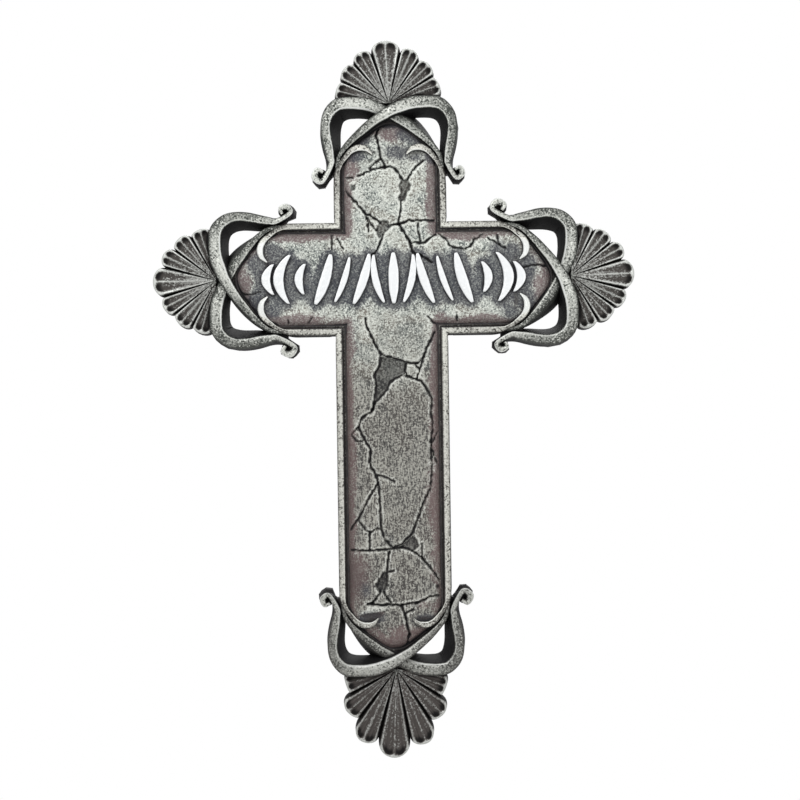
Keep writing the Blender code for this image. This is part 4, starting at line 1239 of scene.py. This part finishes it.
def object_place(tree):
    return tree.nodes.new("ShaderNodeTexCoord").outputs["Object"]


def attribute(tree, name):
    node = tree.nodes.new("ShaderNodeAttribute")
    node.attribute_name = name
    return node.outputs["Fac"]


def speckle_group():
    """Fine flecks where silver has caught on the grain of the casting."""
    group, given, made = new_group(
        "Silver flecks",
        (("Place", "NodeSocketVector", None), ("Size", "NodeSocketFloat", 900.0)),
        (("Flecks", "NodeSocketFloat"), ("Grain", "NodeSocketFloat")),
    )
    light = noise(group, given.outputs["Place"], given.outputs["Size"], 1.0)
    pit_size = times(group, given.outputs["Size"], 0.78)
    pits = noise(group, given.outputs["Place"], pit_size, 1.0)
    bright = times(group, map_range(group, light, 0.50, 0.61), 0.5)
    dark = times(group, map_range(group, pits, 0.49, 0.37), 0.5)
    flecks = minus(group, plus(group, bright, 0.5), dark)
    group.links.new(flecks, made.inputs["Flecks"])
    grain = times(group, plus(group, light, pits), 0.5)
    group.links.new(grain, made.inputs["Grain"])
    return group


def brush_group():
    """Where the silver lies: on what stands proud, less in the hollows, broken by the flecks."""
    group, given, made = new_group(
        "Dry brush",
        [(label, "NodeSocketFloat", start) for label, start in
         (("Hollow", 0.0), ("Ridge", 0.0), ("Flecks", 0.5), ("Cover", 0.5), ("Break", 0.5))],
        (("Silver", "NodeSocketFloat"), ("Dark", "NodeSocketFloat")),
    )
    ridge = plus(group, given.outputs["Cover"], given.outputs["Ridge"])
    kept = minus(group, ridge, times(group, given.outputs["Hollow"], 1.2))
    breaks = swing(group, given.outputs["Flecks"], given.outputs["Break"])
    silver = plus(group, kept, breaks, clamp=True)
    dark = map_range(group, given.outputs["Hollow"], 0.25, 0.85)
    group.links.new(silver, made.inputs["Silver"])
    group.links.new(dark, made.inputs["Dark"])
    return group


def lowness_group():
    """How far down the cross a point lies, for the darkening and the scratches over its lower half."""
    group, given, made = new_group(
        "Lowness down the cross", (("Place", "NodeSocketVector", None),), (("Lowness", "NodeSocketFloat"),)
    )
    apart = group.nodes.new("ShaderNodeSeparateXYZ")
    group.links.new(given.outputs["Place"], apart.inputs[0])
    patch = noise(group, given.outputs["Place"], 45.0, 2.0)
    height = plus_share(group, apart.outputs["Z"], patch, 0.04)
    group.links.new(map_range(group, height, 0.012, -0.040), made.inputs["Lowness"])
    return group


def cross_brush_group():
    """Fine upright scratches with fainter level ones across them, as a brush leaves them."""
    group, given, made = new_group(
        "Crossed scratches", (("Place", "NodeSocketVector", None),), (("Scratches", "NodeSocketFloat"),)
    )
    found = []
    for scale in ((2100.0, 800.0, 420.0), (620.0, 800.0, 1900.0)):
        turned = group.nodes.new("ShaderNodeMapping")
        turned.inputs["Rotation"].default_value = (0.0, 0.1, 0.0)
        turned.inputs["Scale"].default_value = scale
        group.links.new(given.outputs["Place"], turned.inputs["Vector"])
        found.append(noise(group, turned.outputs[0], 1.0, 1.0))
    both = plus_share(group, times(group, found[0], 0.68), found[1], 0.32)
    group.links.new(map_range(group, both, 0.40, 0.60), made.inputs["Scratches"])
    return group


GROUPS = {}


def use_group(tree, name, **given):
    node = tree.nodes.new("ShaderNodeGroup")
    node.node_tree = GROUPS[name]
    for label, value in given.items():
        connect(tree, node.inputs[label], value)
    return node.outputs


def finish(name, **constants):
    material = bpy.data.materials.new(name)
    material.use_nodes = True
    tree = material.node_tree
    shader = tree.nodes["Principled BSDF"]
    for label, value in constants.items():
        shader.inputs[label.replace("_", " ")].default_value = value
    return material, tree, shader


def bumped(tree, shader, height, distance, strength=1.0):
    bump = tree.nodes.new("ShaderNodeBump")
    bump.inputs["Strength"].default_value = strength
    bump.inputs["Distance"].default_value = distance
    connect(tree, bump.inputs["Height"], height)
    tree.links.new(bump.outputs[0], shader.inputs["Normal"])


def silvered(name, silver, middle, dark, cover, breaks, size=1500.0, low_darkening=0.35, ridge_share=0.35):
    """Silver brushed over a dark wash. Colours are the silver, what shows between its flecks, and the
    wash. Cover is how much silver lies on an even face, and breaks is how far the flecks part it."""
    material, tree, shader = finish(name)
    place = object_place(tree)
    flecks = use_group(tree, "flecks", Place=place, Size=size)
    # The tone takes silver away where it is dull and where shade is painted, and below 0 paints a highlight
    tone = attribute(tree, "tone")
    covered = plus_share(tree, cover, tone, -0.9)
    ridge = times(tree, attribute(tree, "ridge"), ridge_share)
    patches = map_range(tree, noise(tree, place, 150.0, 3.0), 0.38, 0.62)
    broken = plus_share(tree, 0.5, patches, 0.6)
    broken = times(tree, broken, map_range(tree, tone, -0.35, 0.0, 0.35 * breaks, breaks))
    covered = plus_share(tree, covered, patches, -0.12)
    brush = use_group(tree, "brush", Hollow=attribute(tree, "hollow"), Ridge=ridge, Flecks=flecks["Flecks"],
                      Cover=covered, Break=broken)
    lowness = use_group(tree, "lowness", Place=place)["Lowness"]
    painted = mix_colour(tree, brush["Silver"], middle, silver)
    # Below 0 the tone paints a highlight, near white
    painted = mix_colour(tree, map_range(tree, tone, -0.05, -0.45), painted, srgb(232, 234, 231))
    dulled_and_shaded = mix_colour(tree, times(tree, tone, 0.35), painted, srgb(62, 60, 58))
    darker = mix_colour(tree, times(tree, lowness, low_darkening), dulled_and_shaded, srgb(74, 68, 66))
    colour = mix_colour(tree, brush["Dark"], darker, dark)
    tree.links.new(colour, shader.inputs["Base Color"])
    tree.links.new(map_range(tree, brush["Silver"], 0.0, 1.0, 0.72, 0.42), shader.inputs["Roughness"])
    tree.links.new(times(tree, brush["Silver"], 0.35), shader.inputs["Metallic"])
    shader.inputs["Specular IOR Level"].default_value = 0.2
    bumped(tree, shader, flecks["Grain"], 0.00022)
    return material


def stone_finish():
    """The panel: speckled silver stone, mauve along its sloping edge, dark in the cracks."""
    material, tree, shader = finish("speckled_stone")
    place = object_place(tree)
    flecks = use_group(tree, "flecks", Place=place, Size=1500.0)
    scratches = use_group(tree, "scratches", Place=place)["Scratches"]
    lowness = use_group(tree, "lowness", Place=place)["Lowness"]
    hollow = map_range(tree, attribute(tree, "hollow"), 0.02, 0.75)
    crack = attribute(tree, "crack")
    edge = attribute(tree, "edge")
    # Silver on the lips of the cracks, painted light on the ledge's top, and the light patches
    lip = math_node(tree, "MAXIMUM", attribute(tree, "lip"), attribute(tree, "light"))
    drift = swing(tree, noise(tree, place, 90.0, 3.0), 14.0)
    near_edge = map_range(tree, plus(tree, edge, drift), 4.6, 1.2)
    mauve = plus_share(tree, attribute(tree, "mauve"), near_edge, 0.6)
    speck = swing(tree, flecks["Flecks"], -0.28)
    mauve = plus_share(tree, mauve, drift, 0.05)
    mauve = map_range(tree, plus(tree, mauve, speck), 0.15, 0.75)
    # Painted shade, tinted blue-grey: the patches beside the hooks and the halo round the strokes
    slate_shade = plus(tree, attribute(tree, "slate_shade"), attribute(tree, "halo"))
    slate_shade = plus_share(tree, plus_share(tree, slate_shade, speck, 0.6), drift, 0.02)
    slate_shade = map_range(tree, slate_shade, 0.08, 0.62)
    zones = map_range(tree, noise(tree, place, 105.0, 3.0), 0.36, 0.64)
    cover = plus_share(tree, 0.33, lowness, -0.12)
    cover = plus_share(tree, cover, zones, 0.28)
    cover = plus_share(tree, cover, lip, 0.45)
    cover = plus_share(tree, cover, swing(tree, scratches, 0.7), lowness)
    ridge = times(tree, attribute(tree, "ridge"), 0.4)
    brush = use_group(tree, "brush", Hollow=hollow, Ridge=ridge, Flecks=flecks["Flecks"], Cover=cover,
                      Break=map_range(tree, zones, 0.0, 1.0, 1.35, 0.95))
    patches = noise(tree, place, 85.0, 3.0)
    under = mix_colour(tree, map_range(tree, patches, 0.40, 0.62), srgb(92, 99, 97), srgb(116, 111, 102))
    worn = mix_colour(tree, scratches, srgb(52, 49, 48), srgb(92, 89, 85))
    under = mix_colour(tree, times(tree, lowness, 0.9), under, worn)
    bright = mix_colour(tree, lowness, srgb(216, 220, 212), srgb(164, 163, 155))
    bright = mix_colour(tree, times(tree, lip, patches), bright, srgb(224, 226, 220))
    stone = mix_colour(tree, brush["Silver"], under, bright)
    broken = map_range(tree, flecks["Flecks"], 0.0, 1.0, 0.96, 0.72)
    stained = mix_colour(tree, patches, srgb(96, 80, 80), srgb(126, 110, 110))
    stained = mix_colour(tree, times(tree, lowness, 0.6), stained, srgb(98, 80, 78))
    stone = mix_colour(tree, times(tree, mauve, broken), stone, stained)
    stone = mix_colour(tree, times(tree, slate_shade, broken), stone, srgb(62, 64, 71))
    # Painted shade inside the curves of the hooks and under the ledge, and darker stone low on the foot
    shade = times(tree, attribute(tree, "shade"), 0.9)
    stone = mix_colour(tree, shade, stone, srgb(44, 38, 36))
    stone = mix_colour(tree, brush["Dark"], stone, srgb(34, 34, 38))
    stone = mix_colour(tree, crack, stone, srgb(16, 15, 17))
    tree.links.new(stone, shader.inputs["Base Color"])
    tree.links.new(map_range(tree, brush["Silver"], 0.0, 1.0, 0.78, 0.48), shader.inputs["Roughness"])
    tree.links.new(times(tree, brush["Silver"], 0.25), shader.inputs["Metallic"])
    grain = plus_share(tree, flecks["Grain"], scratches, 0.35)
    bumped(tree, shader, grain, 0.0003)
    return material


def wash_finish(name, colour, lighter, wall=None):
    """Bare resin or the dark wash, a little uneven. A wall colour covers where the side attribute is high."""
    material, tree, shader = finish(name)
    place = object_place(tree)
    patches = noise(tree, place, 260.0, 3.0)
    grain = noise(tree, place, 1500.0, 2.0)
    uneven = mix_colour(tree, map_range(tree, patches, 0.35, 0.7), colour, lighter)
    if wall:
        side = plus_share(tree, attribute(tree, "side"), grain, 0.3)
        uneven = mix_colour(tree, map_range(tree, side, 0.15, 0.4), uneven, wall)
    tree.links.new(uneven, shader.inputs["Base Color"])
    tree.links.new(map_range(tree, grain, 0.2, 0.8, 0.55, 0.8), shader.inputs["Roughness"])
    bumped(tree, shader, grain, 0.00012)
    return material


def camera_and_light():
    """A camera square on to the front, three round lamps and a white surround."""
    camera_data = bpy.data.cameras.new("camera")
    camera_data.sensor_width = 36.0
    camera_data.lens = CAMERA_LENS
    camera_data.clip_start = 0.01
    camera = bpy.data.objects.new("camera", camera_data)
    bpy.context.scene.collection.objects.link(camera)
    upright = Matrix.Rotation(math.pi / 2, 4, "X") @ Matrix.Rotation(-LEAN, 4, "Z")
    camera.matrix_world = Matrix.Translation(CAMERA_PLACE) @ upright
    bpy.context.scene.camera = camera
    for name, place, size, power in LIGHTS:
        data = bpy.data.lights.new(name, "AREA")
        data.shape = "DISK"
        data.size = size
        data.energy = power
        light = bpy.data.objects.new(name, data)
        bpy.context.scene.collection.objects.link(light)
        light.location = place
        light.rotation_mode = "QUATERNION"
        light.rotation_quaternion = (Vector(LIGHT_AIM) - Vector(place)).to_track_quat("-Z", "Y")
    world = bpy.data.worlds.new("studio")
    bpy.context.scene.world = world
    world.use_nodes = True
    tree = world.node_tree
    background = tree.nodes["Background"]
    background.inputs["Color"].default_value = (1.0, 1.0, 1.0, 1.0)
    path = tree.nodes.new("ShaderNodeLightPath")
    strength = map_range(tree, path.outputs["Is Camera Ray"], 0.0, 1.0, 0.55, 1.0, soft=False)
    tree.links.new(strength, background.inputs["Strength"])
    bpy.context.scene.view_settings.view_transform = "Standard"


def add_floor():
    """The pale floor far below the cross, which belongs to the stage."""
    deselect()
    bpy.ops.mesh.primitive_circle_add(vertices=96, radius=0.95, fill_type="NGON", location=(0, 0, -0.45))
    floor = bpy.context.object
    floor.name = "floor"
    material, tree, shader = finish("pale_floor", Roughness=0.8)
    tint = mix_colour(tree, noise(tree, object_place(tree), 6.0), srgb(236, 236, 235), srgb(242, 242, 241))
    tree.links.new(tint, shader.inputs["Base Color"])
    floor.data.materials.append(material)


def dress(piece, material, angle=40.0):
    """Gives a finished piece its material and shading, and hangs it on the frame."""
    piece.data.materials.clear()
    piece.data.materials.append(material)
    make_active(piece)
    bpy.ops.object.shade_smooth_by_angle(angle=math.radians(angle))
    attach(piece, "root")
    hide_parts("cross")


def main():
    camera_and_light()
    add_floor()

    rails = [add_rail(a, b) for a, b in NEIGHBOURS]
    rails = joined([*rails, add_bead()], "rails_and_hooks")
    straps = [joined([add_strap(end, True, 1), add_strap(end, False, -1)], f"{end[0]}_straps")
              for end in ENDS]
    shells = [add_shell(end) for end in ENDS]
    panel = add_panel()
    strokes = add_strokes()
    body = add_body()
    slab = add_back_slab()
    shade_by_relief([rails, *straps, *shells, panel, strokes, body], panel, strokes)

    GROUPS["flecks"] = speckle_group()
    GROUPS["brush"] = brush_group()
    GROUPS["lowness"] = lowness_group()
    GROUPS["scratches"] = cross_brush_group()

    strap_silver = silvered(
        "strap_silver", srgb(220, 222, 215), srgb(66, 70, 66), srgb(15, 15, 16), 0.60, 1.45,
    )
    rail_silver = silvered(
        "rail_silver", srgb(218, 218, 210), srgb(70, 68, 64), srgb(20, 16, 17), 0.66, 1.4, low_darkening=0.1,
    )
    shell_silver = silvered(
        "shell_silver", srgb(210, 212, 208), srgb(70, 66, 63), srgb(14, 12, 12), 0.70, 1.25,
        low_darkening=0.32, ridge_share=0.75,
    )
    stroke_silver = silvered(
        "stroke_silver", srgb(240, 242, 243), srgb(206, 210, 212), srgb(70, 72, 78), 0.9, 0.3,
        low_darkening=0.0, ridge_share=1.0,
    )
    dress(rails, rail_silver)
    for piece in straps:
        dress(piece, strap_silver)
    for piece in shells:
        dress(piece, shell_silver)
    dress(panel, stone_finish())
    dress(strokes, stroke_silver)
    dark = srgb(40, 38, 40)
    dress(body, wash_finish("dark_wash", dark, srgb(66, 60, 60)))
    dress(slab, wash_finish("bare_resin", srgb(96, 95, 93), srgb(122, 121, 118), wall=dark), angle=25.0)


main()
